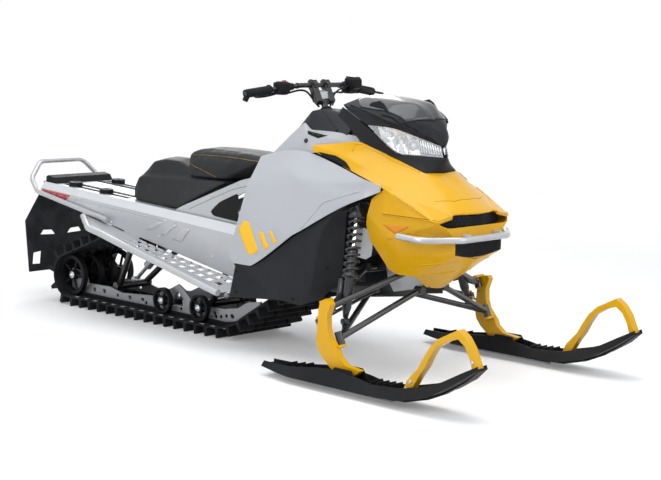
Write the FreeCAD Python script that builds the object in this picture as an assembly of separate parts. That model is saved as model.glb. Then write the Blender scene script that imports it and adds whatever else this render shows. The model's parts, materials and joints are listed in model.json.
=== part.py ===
"""A deep-snow snowmobile: a sheet-metal tunnel on a slide-rail skid and one rubber track, a faceted
body over the engine, two steered skis on double wishbones, a stepped seat and a raised handlebar.

X points forward, Y to the rider's left and Z up. The origin is on the ground at mid length.
Lengths are millimetres."""

import FreeCAD
import Part
import math
import os

from FreeCAD import Vector

# Every size and table below is a share of this length, apart from sheet, clearances and overruns
BODY = 1000.0
OVERALL_LENGTH = 3.194 * BODY
REAR_X = -OVERALL_LENGTH / 2
OVERRUN = 20.0
SHEET = 3.0
PANEL = 4.0
SEAT_GAP = 0.3
BEND_ROOM = 0.45
SEARCH_STEPS = 60

# Track: a belt of equal pitches, with lugs outside and drive teeth inside
TRACK_WIDTH = 0.381 * BODY
TRACK_PITCH = 0.0726 * BODY
PITCH_COUNT = 51
BELT = 0.008 * BODY
LUG_HEIGHT = 0.041 * BODY
LUG_ROOT = 0.022 * BODY
LUG_TIP = 0.012 * BODY
TOOTH_HEIGHT = 0.022 * BODY
TOOTH_ROOT = 0.026 * BODY
TOOTH_TIP = 0.012 * BODY
LUG_CENTRE_WIDTH = 0.176 * BODY
LUG_SIDE_WIDTH = 0.088 * BODY
TOOTH_WIDTH = 0.020 * BODY
TOOTH_Y = LUG_CENTRE_WIDTH / 2 - TOOTH_WIDTH / 2

# Track path: rear idler, ski-shaped rail front, drive sprocket and carrier roller
IDLER_RADIUS = 0.101 * BODY
IDLER_X = -1.273 * BODY
NOSE_RADIUS = 0.330 * BODY
NOSE_X = -0.185 * BODY
NOSE_ANGLE = 37.0
SPROCKET_TEETH = 8
SPROCKET_Z = 0.346 * BODY
CARRIER_RADIUS = 0.068 * BODY
CARRIER_X = -0.735 * BODY
CARRIER_Z = 0.386 * BODY

# Tunnel
TUNNEL_HALF = 0.205 * BODY
TUNNEL_REAR_X = -1.462 * BODY
TUNNEL_FRONT_X = 0.128 * BODY
DECK_REAR_Z = 0.606 * BODY
DECK_FRONT_Z = 0.520 * BODY
BEND_REAR_Z = 0.575 * BODY
BEND_FRONT_Z = 0.480 * BODY
SILL_REAR_Z = 0.541 * BODY
SILL_FRONT_Z = 0.268 * BODY
CHAMFER = 0.024 * BODY

# Running boards
BOARD_SWEEP_X = -0.640 * BODY
BOARD_EDGE_TUBE = 0.015 * BODY
BOARD_SLOT = 0.034 * BODY
BOARD_SLOT_PITCH = 0.062 * BODY
BOARD_SLOT_COUNT = 11

# Skis
SKI_STANCE = 0.990 * BODY
SKI_PIVOT_X = 0.945 * BODY
SKI_PIVOT_Z = 0.056 * BODY
SKI_WALL = 0.005 * BODY
SKI_BOLT_RADIUS = 0.007 * BODY
SKI_EAR_Y = 0.029 * BODY
SKI_EAR = 0.007 * BODY
LOOP_WIDTH = 0.036 * BODY
RUNNER_RADIUS = 0.0049 * BODY

# Spindles: the kingpin axis leans back by the caster angle
CASTER = 23.7
BALL_LOW_X = 0.868 * BODY
BALL_LOW_Z = 0.189 * BODY
BALL_HIGH_Z = 0.304 * BODY
BALL_Y = 0.452 * BODY

# Handlebar
COLUMN_LEAN = 22.5
BEARING_X = 0.40878 * BODY
BEARING_Z = 0.849826 * BODY
BAR_RADIUS = 0.011 * BODY
GRIP_RADIUS = 0.017 * BODY
GRIP_LENGTH = 0.130 * BODY
HOOK_RADIUS = 0.0119 * BODY
RISER_POST = 0.0132 * BODY
CLAMP_RADIUS = 0.022 * BODY
CLAMP_HALF = 0.0088 * BODY
RISER_Y = 0.038 * BODY
RISER_HEIGHT = 0.076 * BODY
POST_HOLE = 0.024 * BODY
COLUMN_RADIUS = 0.014 * BODY
COLUMN_DROP = 0.313 * BODY
BEARING_Y = 0.180 * BODY

# Cargo sockets on the tunnel deck
SOCKET_BORE = 0.009 * BODY
SOCKET_RADIUS = 0.034 * BODY
SOCKET_HEIGHT = 0.020 * BODY

# Skid
RAIL_Y = 0.112 * BODY
RAIL = 0.010 * BODY
SLIDER_WIDTH = 0.028 * BODY
SLIDER = 0.014 * BODY
RAIL_REAR_X = -1.325 * BODY
RAIL_TIP_X = 0.062 * BODY
RAIL_TOP_SHARES = [(0.066, 0.186), (-0.023, 0.171), (-0.082, 0.138), (-0.180, 0.120),
                   (-0.383, 0.116), (-0.454, 0.174), (-0.497, 0.195), (-0.541, 0.173),
                   (-0.673, 0.116), (-0.919, 0.100), (-1.013, 0.118), (-1.192, 0.114),
                   (-1.217, 0.170), (-1.325, 0.176)]
RAIL_WINDOW_SHARES = [(-0.120, 0.094), (-0.240, 0.092), (-0.340, 0.092), (-0.600, 0.092),
                      (-0.760, 0.086), (-0.860, 0.084), (-1.060, 0.090), (-1.140, 0.088)]
RAIL_WINDOW_RADIUS = 0.011 * BODY
RAIL_TALL_WINDOW_SHARES = [(-0.460, 0.092), (-0.535, 0.092), (-0.520, 0.140), (-0.497, 0.160),
                           (-0.474, 0.140)]
IDLER_Z = LUG_HEIGHT + BELT + IDLER_RADIUS
WHEEL_GAP = 1.2
SLIDER_GAP = 0.8
AXLE_RADIUS = 0.012 * BODY
IDLER_WHEEL_SHARES = [(0.028, 0.052), (0.130, 0.156)]
CARRIER_WHEEL_SHARES = [(0.040, 0.062), (0.100, 0.124)]
BOGIE_RADIUS = 0.062 * BODY
BOGIE_SHARES = [-0.577, -0.313]
BOGIE_WHEEL_SHARES = (0.130, 0.154)
HUB = 0.012 * BODY
SPOKE_COUNT = 5
RIM_SHARE = 0.82
SPOKE_SHARE = 0.9
FRONT_ARM_SHARES = [(-0.030, 0.186, 0.392), (-0.300, 0.080, 0.128)]
REAR_ARM_SHARES = [(-0.735, 0.186, 0.386), (-0.985, 0.080, 0.124)]
ARM_TUBE = 0.015 * BODY
CROSS_TUBE = 0.019 * BODY
SKID_SHOCK_SHARES = [((-0.0519, 0, 0.3630), (-0.2750, 0, 0.1545)),
                     ((-0.7130, 0, 0.3570), (-0.9580, 0, 0.1485))]
SKID_SHOCK_BODY = 0.022 * BODY
SKID_SHOCK_SHAFT = 0.009 * BODY
SKID_SHOCK_EYE = 0.017 * BODY
SHOCK_SPLIT_SHARE = 0.62
SHOCK_HEAD_SHARE = 1.6

# Drive axle
DRIVER_RADIUS = 0.062 * BODY
DRIVER_WIDTH = 0.032 * BODY
PEG = 0.015 * BODY
PEG_REACH = 0.084 * BODY

# Tunnel fittings: hangers, sockets, strips and the cross piece
HANGER_SHARES = [(-0.795, 0.432), (-0.760, 0.362), (-0.710, 0.362), (-0.665, 0.412)]
SOCKET_SHARES = [(-1.268, 0.132), (-1.020, 0.132)]
DECK_STRIP_SHARES = [(-1.366, 0.068), (-1.366, 0.092), (-0.840, 0.092), (-0.840, 0.068)]
STRIP = 0.004 * BODY
CROSS_PIECE_SHARES = [(-1.460, 0), (-1.456, 0.026), (-1.440, 0.034), (-1.392, 0.028), (-1.370, 0)]
CROSS_PIECE_HALF = 0.176 * BODY

# Running board tables: each station holds its X, then Y and Z of its inner and outer edge
BOARD_SHARES = [(-1.066, -0.205, 0.472, -0.215, 0.474), (-0.960, -0.205, 0.452, -0.285, 0.458),
                (-0.860, -0.205, 0.432, -0.340, 0.440), (-0.726, -0.205, 0.404, -0.365, 0.424),
                (-0.583, -0.205, 0.375, -0.365, 0.392), (-0.397, -0.205, 0.344, -0.365, 0.355),
                (-0.189, -0.205, 0.311, -0.365, 0.312), (0.010, -0.205, 0.284, -0.365, 0.268),
                (0.078, -0.205, 0.275, -0.365, 0.255), (0.088, -0.205, 0.274, -0.3210, 0.256),
                (0.215, -0.205, 0.262, -0.3182, 0.246)]
BOARD_EDGE_SHARES = [(-1.020, -0.271, 0.476), (-0.860, -0.361, 0.4415), (-0.726, -0.3805, 0.4255),
                     (-0.583, -0.3803, 0.3935), (-0.397, -0.3803, 0.3565), (-0.189, -0.3803, 0.3135),
                     (0.010, -0.3803, 0.2695), (0.078, -0.3803, 0.2565)]
BOARD = 0.003 * BODY
BOARD_FOOT_GAP = 0.3
BOARD_ROW_SHARES = (0.27, 0.62)

# Rear bumper, flap and lamps
BUMPER_TUBE = 0.0125 * BODY
REAR_BUMPER_SHARES = [(-0.904, -0.2178, 0.465), (-1.474, -0.2178, 0.557), (-1.542, -0.205, 0.618),
                      (-1.572, -0.130, 0.699)]
REAR_BUMPER_BEND = 0.060 * BODY
FLAP_SHARES = [(-1.485, -0.180, 0.568), (-1.575, -0.223, 0.398), (-1.592, -0.191, 0.130),
               (-1.592, 0.191, 0.130), (-1.575, 0.223, 0.398), (-1.485, 0.180, 0.568)]
FLAP_SLOT_SHARES = [(0.038, 0.316), (0.128, 0.320), (0.112, 0.343), (0.058, 0.340)]
FLAP_VENT_SHARES = [(0.126, 0.168), (0.172, 0.170), (0.168, 0.228), (0.122, 0.234)]
FLAP = 0.005 * BODY
TAIL_SHARES = [(-0.165, 0.5703), (-0.060, 0.5703), (-0.060, 0.606), (-0.165, 0.606)]
TAIL_DEPTH = 0.034 * BODY

# Seat and its side frames
SEAT_BASE_SHARES = [(-0.821, 0.621), (-0.663, 0.764), (-0.546, 0.790),
                    (-0.425, 0.784), (-0.400, 0.700), (-0.165, 0.700), (-0.178, 0.690)]
SEAT_FOOT_SHARES = (-0.813, -0.496)
SEAT_HALF = 0.150 * BODY
CUSHION_SHARES = [(-0.400, 0.700), (-0.425, 0.784), (-0.398, 0.826), (-0.330, 0.835),
                  (0.000, 0.828), (0.055, 0.815), (0.050, 0.790), (-0.073, 0.742),
                  (-0.165, 0.700)]
CUSHION_HALF = 0.122 * BODY
FRAME_SHARES = [(-0.473, 0.5483), (-0.409, 0.575), (-0.026, 0.717), (0.102, 0.748), (0.071, 0.642),
                (0.017, 0.5195)]
FRAME_WINDOW_SHARES = [(0.001, 0.667), (-0.203, 0.585), (-0.010, 0.560)]
FRAME_Y = SEAT_HALF + SEAT_GAP
FRAME = 0.008 * BODY

# Body panels
CONSOLE_ROW_SHARES = [
    [(0.0557, -0.130, 0.700), (0.0557, -0.080, 0.800), (0.0557, 0, 0.815)],
    [(0.190, -0.170, 0.790), (0.200, -0.115, 0.880), (0.200, 0, 0.890)],
    [(0.265, -0.160, 0.870), (0.290, -0.105, 0.975), (0.290, 0, 0.985)],
    [(0.375, -0.142, 0.945), (0.345, -0.095, 1.037), (0.345, 0, 1.045)],
    [(0.540, -0.140, 0.945), (0.475, -0.070, 1.042), (0.475, 0, 1.045)],
    [(0.600, -0.150, 0.945), (0.590, -0.090, 1.000), (0.590, 0, 1.010)],
]
KNEE_SHARES = [(0.180, -0.212, 0.836), (0.358, -0.205, 0.906), (0.469, -0.203, 0.905),
               (0.529, -0.182, 0.937), (0.383, -0.172, 0.950), (0.359, -0.150, 0.989),
               (0.280, -0.150, 0.935)]
KNEE_FACES = [(0, 1, 6), (1, 5, 6), (1, 4, 5), (1, 2, 4), (2, 3, 4)]
SIDE_SHARES = [(0.097, -0.335, 0.422), (0.126, -0.338, 0.387), (0.240, -0.345, 0.388),
               (0.301, -0.345, 0.416), (0.485, -0.342, 0.543), (0.529, -0.340, 0.563),
               (0.731, -0.320, 0.677), (0.835, -0.300, 0.718), (0.835, -0.290, 0.790),
               (0.494, -0.225, 0.872), (0.397, -0.215, 0.877), (0.296, -0.215, 0.871),
               (0.173, -0.225, 0.839), (0.175, -0.250, 0.802), (0.168, -0.300, 0.720),
               (0.135, -0.330, 0.545), (0.422, -0.295, 0.780), (0.660, -0.305, 0.758),
               (0.362, -0.348, 0.552), (0.680, -0.325, 0.701)]
SIDE_FACES = [(15, 0, 18), (0, 1, 18), (1, 2, 18), (2, 3, 18), (3, 4, 18), (18, 4, 16), (4, 5, 16),
              (5, 19, 16), (5, 6, 19), (6, 7, 19), (19, 7, 17), (7, 8, 17), (16, 19, 17), (17, 8, 9),
              (16, 17, 9), (16, 9, 10), (16, 10, 11), (16, 11, 12), (16, 12, 13), (14, 16, 13),
              (14, 18, 16), (15, 18, 14)]
LOWER_SHARES = [(0.088, -0.325, 0.234), (0.397, -0.320, 0.261), (0.504, -0.310, 0.250),
                (0.609, -0.300, 0.287), (0.653, -0.260, 0.346), (0.682, -0.250, 0.373),
                (0.704, -0.260, 0.538), (0.712, -0.262, 0.600), (0.742, -0.300, 0.668),
                (0.731, -0.316, 0.6720), (0.533, -0.332, 0.551), (0.489, -0.334, 0.531),
                (0.305, -0.337, 0.404), (0.240, -0.337, 0.376), (0.126, -0.330, 0.375),
                (0.586, -0.328, 0.330), (0.626, -0.331, 0.590)]
LOWER_FACES = [(0, 1, 14), (1, 13, 14), (1, 12, 13), (1, 15, 12), (1, 2, 15), (2, 3, 15), (3, 4, 15),
               (4, 5, 15), (15, 5, 6), (15, 6, 16), (6, 7, 16), (7, 8, 9), (7, 9, 16), (16, 9, 10),
               (15, 16, 10), (15, 10, 11), (15, 11, 12)]
HOOD_ROW_SHARES = [
    [(0.484, -0.232, 0.883), (0.482, -0.225, 0.903), (0.500, -0.215, 0.905)],
    [(0.656, -0.245, 0.834), (0.700, -0.235, 0.864), (0.706, -0.188, 0.930)],
    [(0.901, -0.258, 0.762), (0.942, -0.205, 0.773), (0.873, -0.132, 0.861)],
    [(0.954, -0.258, 0.739), (1.062, -0.165, 0.719), (0.974, -0.095, 0.815)],
    [(1.143, -0.226, 0.644), (1.150, -0.121, 0.672), (1.010, -0.050, 0.800)],
]
HOOD_MIDDLE_SHARES = [(0.985, 0, 0.812), (1.190, 0, 0.672)]
NOSE_SHARES = [(0.842, -0.262, 0.712), (0.901, -0.258, 0.752), (0.954, -0.258, 0.729),
               (1.143, -0.225, 0.634), (1.168, -0.190, 0.621), (1.175, -0.143, 0.577),
               (1.175, -0.143, 0.515), (1.118, -0.058, 0.446), (0.966, -0.062, 0.358),
               (0.991, -0.160, 0.413), (0.928, -0.190, 0.417), (0.889, -0.200, 0.433),
               (0.875, -0.215, 0.465), (0.821, -0.240, 0.548), (0.803, -0.245, 0.607),
               (0.816, -0.255, 0.648), (0.946, -0.250, 0.562), (0.925, -0.205, 0.445),
               (1.004, 0, 0.349), (1.121, 0, 0.443), (1.160, 0, 0.488), (1.175, 0, 0.577),
               (1.168, 0, 0.621)]
NOSE_FACES = [(15, 16, 0), (0, 16, 1), (1, 16, 2), (16, 3, 2), (16, 4, 3), (16, 5, 4), (16, 6, 5),
              (14, 16, 15), (13, 16, 14), (12, 16, 13), (12, 11, 17), (11, 10, 17), (10, 9, 17),
              (12, 17, 16), (17, 9, 16), (9, 6, 16), (9, 7, 6), (9, 8, 7), (8, 18, 19, 7),
              (5, 21, 22, 4), (6, 7, 20), (7, 19, 20)]
GRILLE_FIT = 0.994
GRILLE_CORNERS = (21, 5, 6, 20)
UPPER_GRILLE_ROW_SHARES = [
    [(1.1250, -0.185, 0.6255), (1.1260, -0.185, 0.6400)],
    [(1.1420, -0.120, 0.6150), (1.1400, -0.112, 0.6640)],
    [(1.1641, -0.055, 0.6030), (1.1610, -0.055, 0.6640)],
    [(1.1641, 0, 0.6030), (1.1610, 0, 0.6640)],
]
SURROUND_ROW_SHARES = [
    [(0.662, -0.185, 0.968), (0.588, -0.192, 1.028), (0.622, -0.2005, 1.062)],
    [(0.709, -0.1875, 0.9312), (0.735, -0.194, 0.965), (0.748, -0.193, 0.990)],
    [(0.8735, -0.1325, 0.8636), (0.868, -0.1355, 0.872), (0.860, -0.1385, 0.882)],
    [(0.9745, -0.0955, 0.8164), (0.966, -0.062, 0.864), (0.934, -0.073, 0.879)],
    [(0.980, -0.0200, 0.8132), (0.999, -0.016, 0.866), (0.998, -0.016, 0.874)],
    [(0.981, 0, 0.8122), (1.000, 0, 0.866), (0.999, 0, 0.874)],
]
LENS_SHARES = [(0.757, -0.196, 0.996), (0.862, -0.163, 0.990), (0.921, -0.077, 0.953),
               (0.988, -0.018, 0.919), (1.001, -0.018, 0.8751), (0.932, -0.072, 0.8805),
               (0.862, -0.138, 0.8840), (0.816, -0.162, 0.930)]
LENS_WALL = 0.0025 * BODY
DEFLECTOR_SHARES = [
    (0.640, -0.203, 1.061), (0.630, -0.205, 1.073), (0.632, -0.110, 1.099), (0.638, 0, 1.112),
    (0.752, -0.1965, 0.9974), (0.760, -0.191, 1.042), (0.862, -0.165, 0.9914), (0.858, -0.176, 1.012),
    (0.802, -0.170, 1.050), (0.800, -0.125, 1.068), (0.884, -0.031, 1.097), (0.884, 0, 1.094),
    (0.900, -0.115, 1.021), (0.932, -0.035, 1.020), (0.936, 0, 1.018), (0.923, -0.077, 0.9549),
    (0.932, -0.079, 0.973), (0.987, -0.018, 0.9204), (0.972, -0.056, 0.955), (0.988, 0, 0.9194),
    (0.984, 0, 0.958), (0.955, -0.050, 1.003)]
DEFLECTOR_FACES = [
    (0, 4, 5, 1), (4, 6, 7, 5), (1, 5, 9, 2), (5, 8, 9), (5, 7, 8), (2, 9, 10), (2, 10, 11, 3), (7, 12, 8),
    (8, 12, 9), (9, 12, 10), (12, 13, 10), (10, 13, 14, 11), (6, 15, 16, 7), (7, 16, 12), (12, 16, 21),
    (12, 21, 13), (16, 18, 21), (16, 15, 18), (15, 17, 18), (17, 19, 20), (17, 20, 18), (18, 20, 21),
    (21, 20, 14, 13)]
FRONT_BUMPER_SHARES = [(0.990, -0.268, 0.583), (1.100, -0.268, 0.577), (1.208, -0.138, 0.577)]
BUMPER_STUB_SHARES = [(1.1753, -0.095, 0.588)]
FRONT_BUMPER_TUBE = 0.013 * BODY
BUMPER_STUB = 0.0091 * BODY
FRONT_BUMPER_BEND = 0.045 * BODY

# Engine and front frame
ENGINE_SHARES = ((0.430, -0.150, 0.4503), (0.660, 0.150, 0.800))
BULKHEAD_FRONT_X = 0.392 * BODY
BULKHEAD_TOP_Z = 0.516 * BODY
KEEL_Y = 0.050 * BODY
KEEL = 0.006 * BODY
KEEL_SHARES = [(0.390, 0.272), (0.640, 0.276), (0.955, 0.320), (0.955, 0.410), (0.900, 0.450),
               (0.390, 0.450)]
KEEL_WINDOW_SHARES = [(0.440, 0.310), (0.640, 0.320), (0.900, 0.362), (0.860, 0.410), (0.640, 0.400),
                      (0.440, 0.420)]
TOWER_SHARES = [(0.386, -0.180, 0.495), (0.762, -0.216, 0.712), (0.930, -0.070, 0.445),
                (0.930, -0.045, 0.428)]
CROSS_SHARES = [(0.690, 0.1027, 0.413), (0.930, 0.0927, 0.430)]
TOWER_TUBE = 0.013 * BODY
TOWER_BEND = 0.039 * BODY
STAY = 0.006 * BODY
STAY_PAD = 0.009 * BODY
STAY_REACH = 0.024 * BODY
SIDE_STAY = (18, 4, 16)
LOWER_STAY = (1, 15, 12)
NOSE_STAY = (9, 8, 7)
KNEE_STAY = (1, 2, 4)
HOOD_STAY_SHARES = [(0.656, -0.245, 0.834), (0.901, -0.258, 0.762), (0.942, -0.205, 0.773)]
STAY_ROOT_SHARES = [(0.385, -0.200, 0.480), (0.385, -0.200, 0.330), (0.949, -0.053, 0.395),
                    (0.762, -0.214, 0.706), (0.380, -0.190, 0.480)]

# Front arms and shocks
BARREL = 0.016 * BODY
BARREL_HALF = 0.026 * BODY
HIGH_BARREL_HALF = 0.021 * BODY
ARM_RADIUS = 0.012 * BODY
EYE_HALF = 0.018 * BODY
EYE_RADIUS = 0.0168 * BODY
LOW_FRONT_SHARE = (0.942, -0.0733, 0.345)
LOW_REAR_SHARE = (0.673, -0.0733, 0.302)
HIGH_FRONT_SHARE = (0.930, -0.110, 0.430)
HIGH_REAR_SHARE = (0.690, -0.120, 0.413)
SHOCK_TOP_SHARE = (0.762, -0.250, 0.683)
SHOCK_FOOT_SHARE = (0.826, -0.380, 0.240)
SHOCK_BODY = 0.018 * BODY
SHOCK_SHAFT = 0.010 * BODY
SHOCK_EYE = 0.013 * BODY
SHOCK_BRACKET = 0.036 * BODY
SPRING_RADIUS = 0.027 * BODY
SPRING_WIRE = 0.005 * BODY
SPRING_TURNS = 8
SPRING_START = 0.13
SPRING_END = 0.60
COLLAR = 0.007 * BODY

# Steered parts
FORK = 0.010 * BODY
FORK_GAP = 1.5
FORK_RADIUS = 0.018 * BODY
WEB_Y = 0.036 * BODY
WEB = 0.028 * BODY
STUD = 0.007 * BODY
WEB_SHARES = [(0.808, 0.332), (0.852, 0.338), (0.862, 0.324), (0.845, 0.277), (0.846, 0.233),
              (0.858, 0.197), (0.882, 0.169), (0.899, 0.150), (0.910, 0.126), (0.945, 0.100),
              (1.022, 0.091), (1.000, 0.074), (0.975, 0.060), (0.915, 0.060), (0.866, 0.080),
              (0.821, 0.116), (0.798, 0.144), (0.788, 0.187), (0.796, 0.246), (0.799, 0.298)]
BOSS_RADIUS = 0.021 * BODY
BOSS_HALF = 0.026 * BODY
TIE_OUT_SHARE = (0.770, -0.470, 0.245)
LUG_ROOT_SHARE = (0.818, -0.498, 0.212)
TIE_BOLT = 0.005 * BODY
TIE_EYE_HALF = 0.008 * BODY
TIE_IN_SHARE = (0.760, -0.125, 0.330)
TIE_RADIUS = 0.007 * BODY
TIE_EYE = 0.013 * BODY
SKI_SHARES = [(0.520, 0.034, 0.037, 0.056, 0.046, 0.030), (0.620, 0.016, 0.029, 0.056, 0.062, 0.036),
              (0.700, 0.010, 0.027, 0.062, 0.078, 0.040), (0.818, 0.010, 0.027, 0.078, 0.078, 0.040),
              (0.917, 0.010, 0.027, 0.086, 0.078, 0.040), (1.030, 0.010, 0.027, 0.075, 0.078, 0.040),
              (1.113, 0.010, 0.027, 0.062, 0.078, 0.040), (1.256, 0.016, 0.031, 0.072, 0.078, 0.040),
              (1.363, 0.044, 0.055, 0.098, 0.078, 0.040), (1.440, 0.078, 0.086, 0.124, 0.075, 0.040),
              (1.530, 0.134, 0.139, 0.172, 0.062, 0.036), (1.597, 0.187, 0.190, 0.207, 0.034, 0.026)]
SKI_PLATE = 0.008 * BODY
KEEL_HALF = 0.013 * BODY
RIB = 0.004 * BODY
RIB_RISE = 0.008 * BODY
RIB_SHARES = [0.645, 0.690, 0.735, 1.100, 1.133, 1.166, 1.199]
EAR_SHARES = [(-0.075, -0.029), (0.110, -0.029), (0.055, 0.038), (-0.030, 0.038)]
LOOP_SHARES = [(1.236, 0.0388), (1.268, 0.103), (1.319, 0.156), (1.342, 0.196), (1.373, 0.242),
               (1.410, 0.276), (1.500, 0.322), (1.534, 0.298), (1.561, 0.262), (1.592, 0.1946)]
LOOP_IN_SHARES = [(1.570, 0.1779), (1.554, 0.228), (1.532, 0.266), (1.500, 0.289), (1.450, 0.272),
                  (1.398, 0.241), (1.371, 0.200), (1.351, 0.161), (1.325, 0.127), (1.300, 0.087),
                  (1.272, 0.0430)]
RUNNER_SHARES = (0.640, 1.180)

# Bars and controls
BAR_SHARES = [(-0.045, -0.385, -0.034), (-0.023, -0.240, -0.015), (0, -0.110, 0)]
BAR_BEND = 0.040 * BODY
HOOK = 0.028 * BODY
CONTROL_SHARE = (-0.015, -0.205, -0.011)
CONTROL_WIDTH = 0.054 * BODY
CONTROL_DEPTH = 0.046 * BODY
BRAKE_SHARES = [(0.001, 0.216, -0.011), (0.029, 0.232, -0.019), (0.033, 0.320, -0.033),
                (0.011, 0.392, -0.041)]
THUMB_SHARES = [(-0.027, -0.214, -0.027), (-0.057, -0.236, -0.041), (-0.067, -0.300, -0.049)]
LEVER = 0.005 * BODY
CYLINDER_SHARES = ((-0.003, 0.178, 0.007), (-0.003, 0.224, 0.003))
CYLINDER = 0.017 * BODY
BUTTON = 0.009 * BODY

SPROCKET_RADIUS = SPROCKET_TEETH * TRACK_PITCH / (2 * math.pi)

ORIGIN = Vector(0, 0, 0)
AHEAD = Vector(1, 0, 0)
ACROSS = Vector(0, 1, 0)
UP = Vector(0, 0, 1)


def vec(x, y, z):
    return Vector(x, y, z)


def mirror(shape):
    return shape.mirror(ORIGIN, ACROSS)


def both(shape):
    return [shape, mirror(shape)]


def fuse(shapes):
    whole = shapes[0]
    if len(shapes) > 1:
        whole = shapes[0].multiFuse(shapes[1:])
    return whole.removeSplitter()


def solids(shape_or_list):
    shapes = shape_or_list if isinstance(shape_or_list, list) else [shape_or_list]
    found = []
    for shape in shapes:
        found += shape.Solids
    return found


def prism_y(points, y_low, y_high):
    """A profile in X and Z, carried from y_low to y_high."""
    ring = [vec(x, y_low, z) for x, z in points]
    face = Part.Face(Part.makePolygon(ring + ring[:1]))
    return face.extrude(vec(0, y_high - y_low, 0))


def prism_x(points, x_low, x_high):
    """A profile in Y and Z, carried from x_low to x_high."""
    ring = [vec(x_low, y, z) for y, z in points]
    face = Part.Face(Part.makePolygon(ring + ring[:1]))
    return face.extrude(vec(x_high - x_low, 0, 0))


def loft(rings):
    """A ruled solid through closed rings of points."""
    wires = [Part.makePolygon(ring + ring[:1]) for ring in rings]
    return Part.makeLoft(wires, True, True)


def rod(start, end, radius):
    along = end - start
    return Part.makeCylinder(radius, along.Length, start, along)


def ring_y(x, z, outer, inner, y_low, y_high):
    """A wheel or washer whose axis runs along Y."""
    body = Part.makeCylinder(outer, y_high - y_low, vec(x, y_low, z), ACROSS)
    if inner:
        start = vec(x, y_low - OVERRUN, z)
        body = body.cut(Part.makeCylinder(inner, y_high - y_low + 2 * OVERRUN, start, ACROSS))
    return body


def rounded_path(points, bend):
    """Straight runs joined by tangent arcs."""
    edges = []
    start = points[0]
    for before, corner, after in zip(points, points[1:], points[2:]):
        back = (before - corner).normalize()
        ahead = (after - corner).normalize()
        turn = math.pi - back.getAngle(ahead)
        cut = bend * math.tan(turn / 2)
        room = BEND_ROOM * min((before - corner).Length, (after - corner).Length)
        cut = min(cut, room)
        first = corner + back * cut
        last = corner + ahead * cut
        radius = cut / math.tan(turn / 2)
        middle_way = (back + ahead).normalize()
        reach = radius / math.cos(turn / 2) - radius
        edges.append(Part.LineSegment(start, first).toShape())
        edges.append(Part.Arc(first, corner + middle_way * reach, last).toShape())
        start = last
    edges.append(Part.LineSegment(start, points[-1]).toShape())
    return Part.Wire(edges)


def bent_tube(points, radius, bend):
    path = rounded_path(points, bend)
    along = points[1] - points[0]
    circle = Part.Wire(Part.makeCircle(radius, points[0], along))
    return path.makePipeShell([circle], True, False)


def triangles_of(faces):
    found = []
    for face in faces:
        for k in range(1, len(face) - 1):
            found.append((face[0], face[k], face[k + 1]))
    return found


def closed_mesh(points, triangles):
    faces = []
    for a, b, c in triangles:
        faces.append(Part.Face(Part.makePolygon([points[a], points[b], points[c], points[a]])))
    solid = Part.Solid(Part.Shell(faces))
    if solid.Volume < 0:
        solid.reverse()
    return solid


def behind(points, faces, wall):
    """Each point of a faceted surface, moved a wall's thickness behind it."""
    normals = [vec(0, 0, 0) for _ in points]
    for a, b, c in triangles_of(faces):
        normal = (points[b] - points[a]).cross(points[c] - points[a]).normalize()
        for k in (a, b, c):
            normals[k] = normals[k] + normal
    return [point - normal.normalize() * wall for point, normal in zip(points, normals)]


def thick_panel(points, faces, wall):
    """A panel of flat facets. Each point is on the outside, and the inside lies a wall behind it."""
    triangles = triangles_of(faces)
    inside = behind(points, faces, wall)
    edges = set()
    for a, b, c in triangles:
        edges.update(((a, b), (b, c), (c, a)))
    count = len(points)
    skin = list(triangles)
    skin += [(c + count, b + count, a + count) for a, b, c in triangles]
    for a, b in edges:
        if (b, a) not in edges:
            skin += [(b, a, a + count), (b, a + count, b + count)]
    return closed_mesh(points + inside, skin)


def body_point(share):
    return vec(share[0] * BODY, share[1] * BODY, share[2] * BODY)


def flipped(face):
    return (face[0],) + tuple(reversed(face[1:]))


def grid(rows):
    """The points and faces of a table of rows, facing away from the middle plane."""
    columns = len(rows[0])
    points = [body_point(share) for row in rows for share in row]
    faces = []
    for r in range(len(rows) - 1):
        for k in range(columns - 1):
            low = r * columns + k
            faces.append((low, low + columns, low + columns + 1, low + 1))
    return points, faces


def mirrored(points, faces):
    """A surface drawn from the right edge to the middle plane, carried on to the left edge."""
    full = list(points)
    twin = []
    for k, point in enumerate(points):
        if point.y == 0:
            twin.append(k)
        else:
            twin.append(len(full))
            full.append(vec(point.x, -point.y, point.z))
    other = [flipped(tuple(twin[k] for k in face)) for face in faces]
    return full, list(faces) + other


def symmetric_panel(points, faces):
    full, skin = mirrored(points, faces)
    return thick_panel(full, skin, PANEL)


def on_line(x, x_a, z_a, x_b, z_b):
    return z_a + (z_b - z_a) * (x - x_a) / (x_b - x_a)


def deck_z(x):
    return on_line(x, TUNNEL_REAR_X, DECK_REAR_Z, 0, DECK_FRONT_Z)


def bend_z(x):
    return on_line(x, TUNNEL_REAR_X, BEND_REAR_Z, 0, BEND_FRONT_Z)


def sill_z(x):
    return on_line(x, TUNNEL_REAR_X, SILL_REAR_Z, TUNNEL_FRONT_X, SILL_FRONT_Z)


# Track

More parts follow.
